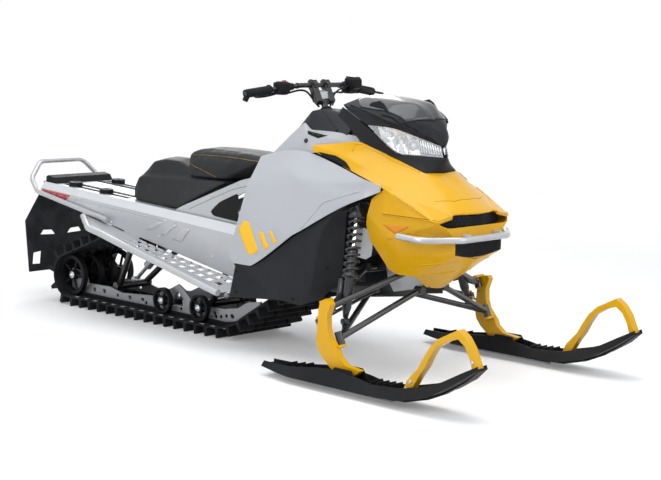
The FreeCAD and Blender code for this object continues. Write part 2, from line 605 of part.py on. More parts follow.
def belt_stations():
    """The centre line of the belt as a function of distance, from the rear idler's foot forward."""
    low = LUG_HEIGHT + BELT / 2
    idler = IDLER_RADIUS + BELT / 2
    sprocket = SPROCKET_RADIUS
    angle = math.radians(NOSE_ANGLE)
    nose_end_x = NOSE_X + NOSE_RADIUS * math.sin(angle)
    nose_end_z = low + NOSE_RADIUS * (1 - math.cos(angle))
    carrier = CARRIER_RADIUS + BELT / 2
    loop = PITCH_COUNT * TRACK_PITCH

    def build(sprocket_x):
        pieces = []
        pieces.append(("line", (IDLER_X, low), (NOSE_X, low)))
        pieces.append(("arc", (NOSE_X, low + NOSE_RADIUS), NOSE_RADIUS, -math.pi / 2, angle))
        away = vec(sprocket_x - nose_end_x, 0, SPROCKET_Z - nose_end_z)
        reach = math.sqrt(away.Length ** 2 - sprocket ** 2)
        rise = math.atan2(away.z, away.x) - math.atan2(sprocket, reach)
        foot_x = nose_end_x + reach * math.cos(rise)
        foot_z = nose_end_z + reach * math.sin(rise)
        pieces.append(("line", (nose_end_x, nose_end_z), (foot_x, foot_z)))
        span = vec(CARRIER_X - sprocket_x, 0, CARRIER_Z - SPROCKET_Z)
        top_turn = math.atan2(span.z, -span.x)
        lean = math.asin((sprocket - carrier) / span.Length)
        top_angle = math.pi / 2 - top_turn + lean
        pieces.append(("arc", (sprocket_x, SPROCKET_Z), sprocket, rise - math.pi / 2,
                       top_angle - (rise - math.pi / 2)))
        way = (math.cos(top_angle), math.sin(top_angle))
        top_start = (sprocket_x + sprocket * way[0], SPROCKET_Z + sprocket * way[1])
        top_end = (CARRIER_X + carrier * way[0], CARRIER_Z + carrier * way[1])
        pieces.append(("line", top_start, top_end))
        idler_z = low + idler
        fall = vec(IDLER_X - CARRIER_X, 0, idler_z - CARRIER_Z)
        slope = math.atan2(-fall.z, -fall.x)
        extra = math.asin((carrier - idler) / fall.Length)
        low_angle = math.pi / 2 + slope + extra
        pieces.append(("arc", (CARRIER_X, CARRIER_Z), carrier, top_angle, low_angle - top_angle))
        fall_start = (CARRIER_X + carrier * math.cos(low_angle), CARRIER_Z + carrier * math.sin(low_angle))
        fall_end = (IDLER_X + idler * math.cos(low_angle), idler_z + idler * math.sin(low_angle))
        pieces.append(("line", fall_start, fall_end))
        pieces.append(("arc", (IDLER_X, idler_z), idler, low_angle, 3 * math.pi / 2 - low_angle))
        return pieces

    def length(pieces):
        total = 0
        for piece in pieces:
            if piece[0] == "line":
                total += math.dist(piece[1], piece[2])
            else:
                total += piece[2] * piece[4]
        return total

    near, far = 0.0, BODY
    for _ in range(SEARCH_STEPS):
        middle = (near + far) / 2
        if length(build(middle)) < loop:
            near = middle
        else:
            far = middle
    return build(near), near


BELT_PIECES, SPROCKET_X = belt_stations()


def belt_point(distance, offset):
    """The point at a distance along the belt and an offset outside its centre line."""
    loop = PITCH_COUNT * TRACK_PITCH
    left = distance % loop
    for piece in BELT_PIECES:
        if piece[0] == "line":
            run = math.dist(piece[1], piece[2])
            if left <= run:
                dx = (piece[2][0] - piece[1][0]) / run
                dz = (piece[2][1] - piece[1][1]) / run
                return (piece[1][0] + dx * left + dz * offset, piece[1][1] + dz * left - dx * offset)
        else:
            run = piece[2] * piece[4]
            if left <= run:
                angle = piece[3] + left / piece[2]
                radius = piece[2] + offset
                return (piece[1][0] + radius * math.cos(angle), piece[1][1] + radius * math.sin(angle))
        left -= run
    return belt_point(0, offset)


def belt_ring(outside, root, tip, height):
    """One side of the belt as a closed ring, with a lug or tooth on every pitch if height isn't zero."""
    side = BELT / 2 if outside else -BELT / 2
    reach = side + height if outside else side - height
    ring = []
    for k in range(PITCH_COUNT):
        middle = (k + 0.5) * TRACK_PITCH
        ring.append(belt_point(k * TRACK_PITCH, side))
        if height:
            ring.append(belt_point(middle - root / 2, side))
            ring.append(belt_point(middle - tip / 2, reach))
            ring.append(belt_point(middle + tip / 2, reach))
            ring.append(belt_point(middle + root / 2, side))
        else:
            ring.append(belt_point((k + 1 / 3) * TRACK_PITCH, side))
            ring.append(belt_point((k + 2 / 3) * TRACK_PITCH, side))
    return ring


def belt_slice(y_low, y_high, lug, tooth):
    outer = belt_ring(True, LUG_ROOT, LUG_TIP, LUG_HEIGHT if lug else 0)
    inner = belt_ring(False, TOOTH_ROOT, TOOTH_TIP, TOOTH_HEIGHT if tooth else 0)
    solid = prism_y(outer, y_low, y_high)
    return solid.cut(prism_y(inner, y_low - OVERRUN, y_high + OVERRUN))


def track():
    half = TRACK_WIDTH / 2
    tooth_high = LUG_CENTRE_WIDTH / 2
    tooth_low = tooth_high - TOOTH_WIDTH
    side = half - LUG_SIDE_WIDTH
    slices = [belt_slice(-tooth_low, tooth_low, True, False)]
    for sign in (-1, 1):
        for low, high, lug, tooth in ((tooth_low, tooth_high, True, True),
                                      (tooth_high, side, False, False),
                                      (side, half, True, False)):
            a, b = sorted((sign * low, sign * high))
            slices.append(belt_slice(a, b, lug, tooth))
    return fuse(slices)


def track_points(shares):
    return [(x * BODY, z * BODY) for x, z in shares]


def drawn(shares):
    return [body_point(share) for share in shares]


def belt_edge(x_from, x_to, offset):
    """Points along the foot of the belt between two places, an offset off its centre line."""
    points = []
    distance = 0.0
    while distance < PITCH_COUNT * TRACK_PITCH / 2:
        x, z = belt_point(distance, offset)
        if x_from <= x <= x_to and z < SPROCKET_Z:
            points.append((x, z))
        distance += TRACK_PITCH / 3
    return points


# Skid: rails, arms, shocks, wheels and axles

def rail_side():
    foot = belt_edge(RAIL_REAR_X, RAIL_TIP_X, -(BELT / 2 + SLIDER_GAP + SLIDER))
    outline = [(RAIL_REAR_X, foot[0][1] + SLIDER)] + foot + track_points(RAIL_TOP_SHARES)
    rail = prism_y(outline, RAIL_Y - RAIL / 2, RAIL_Y + RAIL / 2)
    cutters = []
    for x, z in track_points(RAIL_WINDOW_SHARES):
        cutters.append(ring_y(x, z, RAIL_WINDOW_RADIUS, 0, RAIL_Y - OVERRUN, RAIL_Y + OVERRUN))
    cutters.append(prism_y(track_points(RAIL_TALL_WINDOW_SHARES), RAIL_Y - OVERRUN, RAIL_Y + OVERRUN))
    cutters.append(ring_y(IDLER_X, IDLER_Z, AXLE_RADIUS, 0, RAIL_Y - OVERRUN, RAIL_Y + OVERRUN))
    return rail.cut(Part.makeCompound(cutters))


def slider_side():
    top = belt_edge(RAIL_REAR_X, RAIL_TIP_X, -(BELT / 2 + SLIDER_GAP + SLIDER))
    foot = belt_edge(RAIL_REAR_X, RAIL_TIP_X, -(BELT / 2 + SLIDER_GAP))
    outline = foot + list(reversed(top))
    return prism_y(outline, RAIL_Y - SLIDER_WIDTH / 2, RAIL_Y + SLIDER_WIDTH / 2)


def spoked_wheel(x, z, radius, bore, y_low, y_high):
    rim = ring_y(x, z, radius, radius * RIM_SHARE, y_low, y_high)
    hub = ring_y(x, z, bore + HUB, bore, y_low, y_high)
    middle = (y_low + y_high) / 2
    inner = bore + HUB / 2
    spokes = []
    for k in range(SPOKE_COUNT):
        angle = 2 * math.pi * k / SPOKE_COUNT
        reach = radius * SPOKE_SHARE
        start = vec(x + inner * math.cos(angle), middle, z + inner * math.sin(angle))
        end = vec(x + reach * math.cos(angle), middle, z + reach * math.sin(angle))
        spokes.append(rod(start, end, (y_high - y_low) / 4))
    return fuse([rim, hub] + spokes)


def rear_idlers():
    wheels = []
    for low, high in track_points(IDLER_WHEEL_SHARES):
        wheel = spoked_wheel(IDLER_X, IDLER_Z, IDLER_RADIUS - WHEEL_GAP, AXLE_RADIUS, low, high)
        wheels += both(wheel)
    return Part.makeCompound(solids(wheels))


def rear_axle():
    end = IDLER_WHEEL_SHARES[-1][-1] * BODY
    return rod(vec(IDLER_X, -end, IDLER_Z), vec(IDLER_X, end, IDLER_Z), AXLE_RADIUS - SEAT_GAP)


def bogies():
    found = []
    z = LUG_HEIGHT + BELT + BOGIE_RADIUS
    low, high = (share * BODY for share in BOGIE_WHEEL_SHARES)
    for share in BOGIE_SHARES:
        x = share * BODY
        wheel = spoked_wheel(x, z, BOGIE_RADIUS - WHEEL_GAP, AXLE_RADIUS, low, high)
        stub = ring_y(x, z, AXLE_RADIUS, 0, RAIL_Y + RAIL / 2, high)
        found += both(fuse([wheel, stub]))
    return Part.makeCompound(solids(found))


def carrier_wheels():
    found = []
    bore = CROSS_TUBE + SEAT_GAP
    for low, high in track_points(CARRIER_WHEEL_SHARES):
        wheel = spoked_wheel(CARRIER_X, CARRIER_Z, CARRIER_RADIUS - WHEEL_GAP, bore, low, high)
        found += both(wheel)
    return Part.makeCompound(solids(found))


def skid_arm(shares):
    top = body_point(shares[0])
    foot = body_point(shares[1])
    reach = TUNNEL_HALF - SHEET
    pieces = both(rod(top, foot, ARM_TUBE))
    pieces.append(rod(vec(top.x, -reach, top.z), vec(top.x, reach, top.z), CROSS_TUBE))
    inner = RAIL_Y - RAIL / 2
    pieces.append(rod(vec(foot.x, -inner, foot.z), vec(foot.x, inner, foot.z), CROSS_TUBE))
    return fuse(pieces)


def coil(start, end, radius, wire, turns):
    """A coil spring: a round wire swept along a helix."""
    along = end - start
    pitch = along.Length / turns
    helix = Part.makeHelix(pitch, along.Length, radius)
    circle = Part.Wire(Part.makeCircle(wire, vec(radius, 0, 0), ACROSS))
    spring = Part.Wire(helix).makePipeShell([circle], True, True)
    spring.Placement = FreeCAD.Placement(start, FreeCAD.Rotation(UP, along))
    return spring


def shock(top, foot, bore, shaft, eye):
    """A damper: a body above and a shaft below, with an eye across each end."""
    along = (foot - top).normalize()
    length = (foot - top).Length
    split = top + along * (length * SHOCK_SPLIT_SHARE)
    pieces = [rod(top + along * (SHOCK_HEAD_SHARE * eye), split, bore), rod(top, foot, shaft)]
    for point in (top, foot):
        pieces.append(Part.makeCylinder(eye, 2 * eye, point - ACROSS * eye, ACROSS))
    return fuse(pieces)


def skid_shocks():
    found = []
    for top, foot in SKID_SHOCK_SHARES:
        found.append(shock(body_point(top), body_point(foot), SKID_SHOCK_BODY, SKID_SHOCK_SHAFT,
                           SKID_SHOCK_EYE))
    return Part.makeCompound(found)


# Drive axle with two toothed drivers, in step with the belt

def driver_phase():
    distance = 0.0
    for piece in BELT_PIECES:
        if piece[0] == "arc" and piece[1][0] == SPROCKET_X:
            return piece[3] + (math.ceil(distance / TRACK_PITCH) * TRACK_PITCH - distance) / piece[2]
        distance += math.dist(piece[1], piece[2]) if piece[0] == "line" else piece[2] * piece[4]
    return 0.0


def drive_axle():
    reach = TUNNEL_HALF - SHEET
    pieces = [rod(vec(SPROCKET_X, -reach, SPROCKET_Z), vec(SPROCKET_X, reach, SPROCKET_Z), AXLE_RADIUS)]
    phase = driver_phase()
    low = TOOTH_Y - DRIVER_WIDTH / 2
    high = TOOTH_Y + DRIVER_WIDTH / 2
    for sign in (-1, 1):
        y_low, y_high = sorted((sign * low, sign * high))
        pieces.append(ring_y(SPROCKET_X, SPROCKET_Z, DRIVER_RADIUS, 0, y_low, y_high))
        for k in range(SPROCKET_TEETH):
            peg = Part.makeBox(PEG_REACH, y_high - y_low, PEG, vec(0, y_low, -PEG / 2))
            peg.rotate(ORIGIN, -ACROSS, math.degrees(phase + 2 * math.pi * k / SPROCKET_TEETH))
            peg.translate(vec(SPROCKET_X, 0, SPROCKET_Z))
            pieces.append(peg)
    return fuse(pieces)


# Tunnel, with a hanger at each side for the skid's rear arm

def tunnel_ring(x, wall):
    half = TUNNEL_HALF - wall
    ridge = TUNNEL_HALF - CHAMFER + (0 if wall == 0 else -wall / 2)
    low = sill_z(x)
    right = [vec(x, -half, low), vec(x, -half, bend_z(x)), vec(x, -ridge, deck_z(x) - wall)]
    left = [vec(p.x, -p.y, p.z) for p in reversed(right)]
    return right + left


def tunnel():
    outer = loft([tunnel_ring(TUNNEL_REAR_X, 0), tunnel_ring(TUNNEL_FRONT_X, 0)])
    inner = loft([tunnel_ring(TUNNEL_REAR_X, SHEET), tunnel_ring(TUNNEL_FRONT_X, SHEET)])
    hangers = both(prism_y(track_points(HANGER_SHARES), SHEET - TUNNEL_HALF, -TUNNEL_HALF))
    return fuse([outer.cut(inner)] + hangers)


def cargo_sockets():
    found = []
    for x, y in SOCKET_SHARES:
        for sign in (-1, 1):
            at = vec(x * BODY, sign * y * BODY, deck_z(x * BODY))
            body = Part.makeCylinder(SOCKET_RADIUS, SOCKET_HEIGHT, at)
            bore = Part.makeCylinder(SOCKET_BORE, 2 * SOCKET_HEIGHT, at - vec(0, 0, SOCKET_HEIGHT / 2))
            tilt = math.degrees(math.atan2(DECK_REAR_Z - DECK_FRONT_Z, -TUNNEL_REAR_X))
            piece = body.cut(bore)
            piece.rotate(at, ACROSS, tilt)
            piece.translate(vec(0, 0, SEAT_GAP))
            found.append(piece)
    return Part.makeCompound(found)


def deck_strips():
    found = []
    for sign in (-1, 1):
        rings = []
        for lift in (SEAT_GAP, STRIP):
            ring = []
            for x, y in DECK_STRIP_SHARES:
                ring.append(vec(x * BODY, sign * y * BODY, deck_z(x * BODY) + lift))
            rings.append(ring)
        found.append(loft(rings))
    outline = [(x, deck_z(x) + z + SEAT_GAP) for x, z in track_points(CROSS_PIECE_SHARES)]
    found.append(prism_y(outline, -CROSS_PIECE_HALF, CROSS_PIECE_HALF))
    return Part.makeCompound(found)


# Running boards

def board_station(x):
    shares = BOARD_SHARES
    for a, b in zip(shares, shares[1:]):
        if a[0] * BODY <= x <= b[0] * BODY:
            t = (x - a[0] * BODY) / (b[0] * BODY - a[0] * BODY)
            return [BODY * (p + (q - p) * t) for p, q in zip(a, b)]
    return [BODY * p for p in shares[-1]]


def running_board():
    pieces = []
    for a, b in zip(BOARD_SHARES, BOARD_SHARES[1:]):
        rings = []
        for x, y_in, z_in, y_out, z_out in (a, b):
            inner = vec(x, y_in, z_in) * BODY - vec(0, BOARD_FOOT_GAP, 0)
            outer = vec(x, y_out, z_out) * BODY
            rings.append([inner, outer, outer + vec(0, 0, BOARD), inner + vec(0, 0, BOARD)])
        pieces.append(loft(rings))
    board = fuse(pieces)
    cutters = []
    for column in range(BOARD_SLOT_COUNT):
        x = BOARD_SWEEP_X + column * BOARD_SLOT_PITCH
        for row in BOARD_ROW_SHARES:
            _, y_in, z_in, y_out, z_out = board_station(x)
            y = y_in + (y_out - y_in) * row
            z = z_in + (z_out - z_in) * row
            corner = vec(x, y - BOARD_SLOT / 2, z - 2 * OVERRUN)
            cutters.append(Part.makeBox(BOARD_SLOT, BOARD_SLOT, 4 * OVERRUN, corner))
    return board.cut(Part.makeCompound(cutters))


def board_edge():
    return bent_tube(drawn(BOARD_EDGE_SHARES), BOARD_EDGE_TUBE, BOARD_SLOT_PITCH)


# Rear: bumper, flap and lamps

def rear_bumper():
    right = drawn(REAR_BUMPER_SHARES)
    left = [vec(p.x, -p.y, p.z) for p in reversed(right)]
    return bent_tube(right + left, BUMPER_TUBE, REAR_BUMPER_BEND)


def snow_flap():
    points = drawn(FLAP_SHARES)
    faces = [(0, 1, 4, 5), (1, 2, 3, 4)]
    cutters = []
    for shares in (FLAP_SLOT_SHARES, FLAP_VENT_SHARES):
        cutters += both(prism_x(track_points(shares), REAR_X - OVERRUN, TUNNEL_REAR_X))
    return thick_panel(points, faces, FLAP).cut(Part.makeCompound(cutters))


def tail_lights():
    x = TUNNEL_REAR_X
    return Part.makeCompound(both(prism_x(track_points(TAIL_SHARES), x - TAIL_DEPTH, x - SEAT_GAP)))


# Seat and its side frames

def seat_base():
    """The seat's foam and tail box, whose foot follows the deck."""
    top = track_points(SEAT_BASE_SHARES)
    foot = [(share * BODY, deck_z(share * BODY) + SEAT_GAP) for share in SEAT_FOOT_SHARES]
    return prism_y(foot[:1] + top + foot[1:], -SEAT_HALF, SEAT_HALF)


def seat_cushion():
    points = [(x + SEAT_GAP, z + SEAT_GAP) for x, z in track_points(CUSHION_SHARES)]
    return prism_y(points, -CUSHION_HALF, CUSHION_HALF)


def side_frame():
    plate = prism_y(track_points(FRAME_SHARES), -FRAME_Y - FRAME, -FRAME_Y)
    window = prism_y(track_points(FRAME_WINDOW_SHARES), -FRAME_Y - OVERRUN, -FRAME_Y + OVERRUN)
    return plate.cut(window)


# Body panels

def nose_surface():
    return mirrored(drawn(NOSE_SHARES), NOSE_FACES)


def nose():
    points, faces = nose_surface()
    return thick_panel(points, faces, PANEL)


def console():
    shell = symmetric_panel(*grid(CONSOLE_ROW_SHARES))
    axis = steering_axis()
    top = clamp()
    return shell.cut(rod(top, top - axis * 2 * RISER_HEIGHT, POST_HOLE))


def panel(shares, faces):
    return thick_panel(drawn(shares), faces, PANEL)


def hood():
    """Four bands a side, joined across the front by a flat between the lamp and the grille."""
    points, faces = grid(HOOD_ROW_SHARES)
    columns = len(HOOD_ROW_SHARES[0])
    count = len(points)
    top, front = count, count + 1
    lamp = count - columns - 1
    points += drawn(HOOD_MIDDLE_SHARES)
    faces += [(lamp, count - 1, top), (count - 1, count - 2, front), (count - 1, front, top)]
    return symmetric_panel(points, faces)


def headlight_surround():
    return symmetric_panel(*grid(SURROUND_ROW_SHARES))


def headlight_lens():
    faces = [(0, 7, 1), (7, 6, 1), (6, 5, 2), (6, 2, 1), (5, 4, 3), (5, 3, 2)]
    return Part.makeCompound(both(thick_panel(drawn(LENS_SHARES), faces, LENS_WALL)))


def deflector():
    return symmetric_panel(drawn(DEFLECTOR_SHARES), DEFLECTOR_FACES)


def lower_grille():
    """A plate that fills the nose's lower opening, from its outer edge to its inner one."""
    points, faces = nose_surface()
    inside = behind(points, faces, PANEL)
    rings = []
    for layer in (points, inside):
        right = [layer[k] for k in GRILLE_CORNERS]
        ring = right + [vec(p.x, -p.y, p.z) for p in reversed(right[1:-1])]
        middle = sum(ring, vec(0, 0, 0)) * (1 / len(ring))
        rings.append([middle + (point - middle) * GRILLE_FIT for point in ring])
    sides = len(rings[0])
    skin = [(0, k + 1, k) for k in range(1, sides - 1)]
    skin += [(sides, sides + k, sides + k + 1) for k in range(1, sides - 1)]
    for k in range(sides):
        ahead = (k + 1) % sides
        skin += [(k, ahead, ahead + sides), (k, ahead + sides, k + sides)]
    return closed_mesh(rings[0] + rings[1], skin)


def grille():
    upper = symmetric_panel(*grid(UPPER_GRILLE_ROW_SHARES))
    return Part.makeCompound([lower_grille(), upper])


def front_bumper():
    right = drawn(FRONT_BUMPER_SHARES)
    left = [vec(p.x, -p.y, p.z) for p in reversed(right)]
    tube = bent_tube(right + left, FRONT_BUMPER_TUBE, FRONT_BUMPER_BEND)
    stubs = []
    for point in drawn(BUMPER_STUB_SHARES):
        stubs += both(rod(point, vec(right[-1].x, point.y, point.z), BUMPER_STUB))
    return fuse([tube] + stubs)


# Engine and front frame

def stay(corners, root):
    """A bracket whose pad lies just behind a facet of a panel."""
    a, b, c = corners
    normal = (b - a).cross(c - a).normalize()
    pad = (a + b + c) * (1 / 3) - normal * (PANEL + SEAT_GAP)
    heel = pad - normal * STAY_REACH
    return [rod(pad, heel, STAY_PAD), rod(heel + normal * STAY, root, STAY)]


def stays():
    facets = [[body_point(SIDE_SHARES[k]) for k in SIDE_STAY],
              [body_point(LOWER_SHARES[k]) for k in LOWER_STAY],
              [body_point(NOSE_SHARES[k]) for k in NOSE_STAY],
              drawn(HOOD_STAY_SHARES),
              [body_point(KNEE_SHARES[k]) for k in KNEE_STAY]]
    found = []
    for corners, root in zip(facets, drawn(STAY_ROOT_SHARES)):
        for piece in stay(corners, root):
            found += both(piece)
    return found


def engine():
    low, high = (body_point(share) for share in ENGINE_SHARES)
    return Part.makeBox(high.x - low.x, high.y - low.y, high.z - low.z, low)


def bulkhead():
    start = TUNNEL_FRONT_X + SEAT_GAP
    length = BULKHEAD_FRONT_X - start
    box = Part.makeBox(length, 2 * TUNNEL_HALF, BULKHEAD_TOP_Z - SILL_FRONT_Z,
                       vec(start, -TUNNEL_HALF, SILL_FRONT_Z))
    half = TUNNEL_HALF - SHEET
    hollow = Part.makeBox(length - SHEET + OVERRUN, 2 * half, BULKHEAD_TOP_Z - SHEET,
                          vec(start - OVERRUN, -half, 0))
    box = box.cut(hollow)
    plate = prism_y(track_points(KEEL_SHARES), -KEEL_Y - KEEL, -KEEL_Y)
    window = prism_y(track_points(KEEL_WINDOW_SHARES), -KEEL_Y - OVERRUN, -KEEL_Y + OVERRUN)
    plate = plate.cut(window)
    pieces = [box] + both(plate)
    for x, y, z in CROSS_SHARES:
        pieces.append(rod(vec(x, -y, z) * BODY, vec(x, y, z) * BODY, ARM_RADIUS))
    pieces += both(bent_tube(drawn(TOWER_SHARES), TOWER_TUBE, TOWER_BEND))
    pieces += stays()
    axis = steering_axis()
    bearing = vec(BEARING_X, 0, BEARING_Z)
    pieces.append(rod(bearing - vec(0, BEARING_Y, 0), bearing + vec(0, BEARING_Y, 0), STAY_PAD))
    half = axis * STAY_PAD
    pieces.append(rod(bearing - half, bearing + half, COLUMN_RADIUS + STAY_PAD))
    space = rod(bearing - half * 2, bearing + half * 2, COLUMN_RADIUS + SEAT_GAP)
    return fuse(pieces).cut(space)


# Front arms and shocks

LOW_BALL = vec(BALL_LOW_X, -BALL_Y, BALL_LOW_Z)


def kingpin():
    lean = math.radians(CASTER)
    return vec(-math.sin(lean), 0, math.cos(lean))


HIGH_BALL = LOW_BALL + kingpin() * ((BALL_HIGH_Z - BALL_LOW_Z) / kingpin().z)


def wishbone(front_share, rear_share, centre, half):
    """An arm of two tubes, with an eye round each inner bolt and one round the spindle's stud."""
    axis = kingpin()
    pieces = [Part.makeCylinder(BARREL, 2 * half, centre - axis * half, axis)]
    for share in (front_share, rear_share):
        point = body_point(share)
        pieces.append(rod(point, centre, ARM_RADIUS))
        pieces.append(rod(point - AHEAD * EYE_HALF, point + AHEAD * EYE_HALF, EYE_RADIUS))
    bore = Part.makeCylinder(STUD + SEAT_GAP, 4 * half, centre - axis * 2 * half, axis)
    return fuse(pieces).cut(bore)


def lower_arm():
    arm = wishbone(LOW_FRONT_SHARE, LOW_REAR_SHARE, LOW_BALL, BARREL_HALF)
    foot = body_point(SHOCK_FOOT_SHARE)
    bracket = rod(foot - UP * (SHOCK_EYE + SEAT_GAP), foot - UP * SHOCK_BRACKET, ARM_RADIUS)
    return fuse([arm, bracket])


def front_shock():
    top = body_point(SHOCK_TOP_SHARE)
    foot = body_point(SHOCK_FOOT_SHARE)
    damper = shock(top, foot, SHOCK_BODY, SHOCK_SHAFT, SHOCK_EYE)
    along = (foot - top).normalize()
    reach = (foot - top).Length
    upper = top + along * (SPRING_START * reach - SPRING_WIRE - SEAT_GAP)
    lower = top + along * (SPRING_END * reach + SPRING_WIRE + SEAT_GAP)
    collars = [rod(upper, upper - along * COLLAR, SPRING_RADIUS + SPRING_WIRE)]
    collars.append(rod(lower, lower + along * COLLAR, SPRING_RADIUS + SPRING_WIRE))
    return fuse([damper] + collars)


def front_spring():
    top = body_point(SHOCK_TOP_SHARE)
    foot = body_point(SHOCK_FOOT_SHARE)
    start = top + (foot - top) * SPRING_START
    end = top + (foot - top) * SPRING_END
    return coil(start, end, SPRING_RADIUS, SPRING_WIRE, SPRING_TURNS)


# Steered parts

def ski_pivot():
    return vec(SKI_PIVOT_X, -SKI_STANCE / 2, SKI_PIVOT_Z)


def ear(centre, start, stud):
    """A lug round the kingpin axis, joined to the web outboard of it, with a stud through the arm's eye."""
    axis = kingpin()
    foot = centre + axis * start
    arm = Part.makeBox(2 * FORK_RADIUS, WEB_Y, FORK, vec(-FORK_RADIUS, -WEB_Y, 0))
    arm.Placement = FreeCAD.Placement(foot, FreeCAD.Rotation(UP, axis))
    return [Part.makeCylinder(FORK_RADIUS, FORK, foot, axis), arm, rod(foot + axis * FORK / 2, stud, STUD)]


def spindle():
    """A forged web outside the two balls, with a lug over the upper one and one under the lower one."""
    axis = kingpin()
    pivot = ski_pivot()
    web_y = -BALL_Y - WEB_Y
    pieces = ear(HIGH_BALL, HIGH_BARREL_HALF + FORK_GAP, HIGH_BALL - axis * HIGH_BARREL_HALF)
    pieces += ear(LOW_BALL, -BARREL_HALF - FORK_GAP - FORK, LOW_BALL + axis * BARREL_HALF)
    pieces.append(prism_y(track_points(WEB_SHARES), web_y - WEB / 2, web_y + WEB / 2))
    pieces.append(rod(pivot - ACROSS * BOSS_HALF, pivot + ACROSS * BOSS_HALF, BOSS_RADIUS))
    tie = body_point(TIE_OUT_SHARE)
    lug = tie - axis * (TIE_EYE_HALF + FORK_GAP + FORK)
    pieces.append(Part.makeCylinder(TIE_EYE, FORK, lug, axis))
    pieces.append(rod(lug + axis * FORK / 2, body_point(LUG_ROOT_SHARE), FORK / 2))
    head = tie + axis * (TIE_EYE_HALF + FORK)
    pieces.append(rod(lug, head, TIE_BOLT))
    pieces.append(rod(tie + axis * (TIE_EYE_HALF + FORK_GAP), head, TIE_RADIUS))
    body = fuse(pieces)
    reach = ACROSS * 2 * BOSS_HALF
    bolt = rod(pivot - reach, pivot + reach, SKI_BOLT_RADIUS + SEAT_GAP)
    return body.cut(bolt)


def tie_rod():
    outer = body_point(TIE_OUT_SHARE)
    inner = body_point(TIE_IN_SHARE)
    axis = kingpin()
    eye = Part.makeCylinder(TIE_EYE, 2 * TIE_EYE_HALF, outer - axis * TIE_EYE_HALF, axis)
    shaft = rod(outer + (inner - outer).normalize() * TIE_BOLT * 2, inner, TIE_RADIUS)
    body = fuse([eye, shaft, Part.makeSphere(TIE_EYE, inner)])
    bore = Part.makeCylinder(TIE_BOLT + SEAT_GAP, 4 * TIE_EYE_HALF, outer - axis * 2 * TIE_EYE_HALF, axis)
    return body.cut(bore)


def ski_ring(x, z_low, z_high, half_low, half_high):
    y = SKI_STANCE / 2
    return [vec(x, -y - half_low, z_low), vec(x, -y + half_low, z_low), vec(x, -y + half_high, z_high),
            vec(x, -y - half_high, z_high)]


def ski_station(x):
    """The keel's foot, the ski's underside, its wall top and its two half widths at a place along it."""
    for a, b in zip(SKI_SHARES, SKI_SHARES[1:]):
        if a[0] * BODY <= x <= b[0] * BODY:
            t = (x - a[0] * BODY) / (b[0] * BODY - a[0] * BODY)
            return [BODY * (p + (q - p) * t) for p, q in zip(a[1:], b[1:])]
    return [BODY * p for p in SKI_SHARES[-1][1:]]


def ski_rib(share):
    x = share * BODY
    _, low, high, _, half = ski_station(x)
    y = -SKI_STANCE / 2
    reach = half - SKI_WALL
    height = high + RIB_RISE - low - SKI_PLATE
    return Part.makeBox(RIB, 2 * reach, height, vec(x, y - reach, low + SKI_PLATE))


def ski_blade():
    """A channel with ribs across it, a keel under it and two ears for the spindle's bolt."""
    pieces = []
    for a, b in zip(SKI_SHARES, SKI_SHARES[1:]):
        outer = []
        hollow = []
        keel = []
        for row in (a, b):
            x, foot, low, high, half, top_half = (value * BODY for value in row)
            inside = top_half - SKI_WALL
            outer.append(ski_ring(x, low, high, half, top_half))
            hollow.append(ski_ring(x, low + SKI_PLATE, high + OVERRUN, inside, inside))
            keel.append(ski_ring(x, foot, low, KEEL_HALF, KEEL_HALF))
        pieces.append(loft(outer).cut(loft(hollow)))
        pieces.append(loft(keel))
    pieces += [ski_rib(share) for share in RIB_SHARES]
    pivot = ski_pivot()
    outline = [(pivot.x + x, pivot.z + z) for x, z in track_points(EAR_SHARES)]
    for sign in (-1, 1):
        y_low, y_high = sorted((pivot.y + sign * SKI_EAR_Y, pivot.y + sign * (SKI_EAR_Y + SKI_EAR)))
        pieces.append(prism_y(outline, y_low, y_high))
    reach = SKI_EAR_Y + SKI_EAR + SKI_BOLT_RADIUS
    pieces.append(rod(pivot - ACROSS * reach, pivot + ACROSS * reach, SKI_BOLT_RADIUS))
    return fuse(pieces)


def ski_loop():
    y = -SKI_STANCE / 2
    return prism_y(track_points(LOOP_SHARES + LOOP_IN_SHARES), y - LOOP_WIDTH / 2, y + LOOP_WIDTH / 2)


def ski_runner():
    y = -SKI_STANCE / 2
    start, end = (share * BODY for share in RUNNER_SHARES)
    return rod(vec(start, y, RUNNER_RADIUS), vec(end, y, RUNNER_RADIUS), RUNNER_RADIUS)


# Handlebar

def steering_axis():
    lean = math.radians(COLUMN_LEAN)
    return vec(-math.sin(lean), 0, math.cos(lean))


def clamp():
    return vec(BEARING_X, 0, BEARING_Z) + steering_axis() * COLUMN_DROP


def from_clamp(shares):
    return [clamp() + body_point(share) for share in shares]


def handlebar():
    right = from_clamp(BAR_SHARES)
    left = [vec(p.x, -p.y, p.z) for p in reversed(right)]
    return bent_tube(right + left, BAR_RADIUS, BAR_BEND)


def bar_space():
    right = from_clamp(BAR_SHARES)
    left = [vec(p.x, -p.y, p.z) for p in reversed(right)]
    return bent_tube(right + left, BAR_RADIUS + SEAT_GAP, BAR_BEND)


def grips():
    start, inner = from_clamp(BAR_SHARES[:2])
    along = (inner - start).normalize()
    grip = rod(start, start + along * GRIP_LENGTH, GRIP_RADIUS)
    hook = rod(start + along * GRIP_RADIUS, start - UP * HOOK, HOOK_RADIUS)
    body = fuse([grip, hook])
    return Part.makeCompound(solids(both(body.cut(bar_space()))))


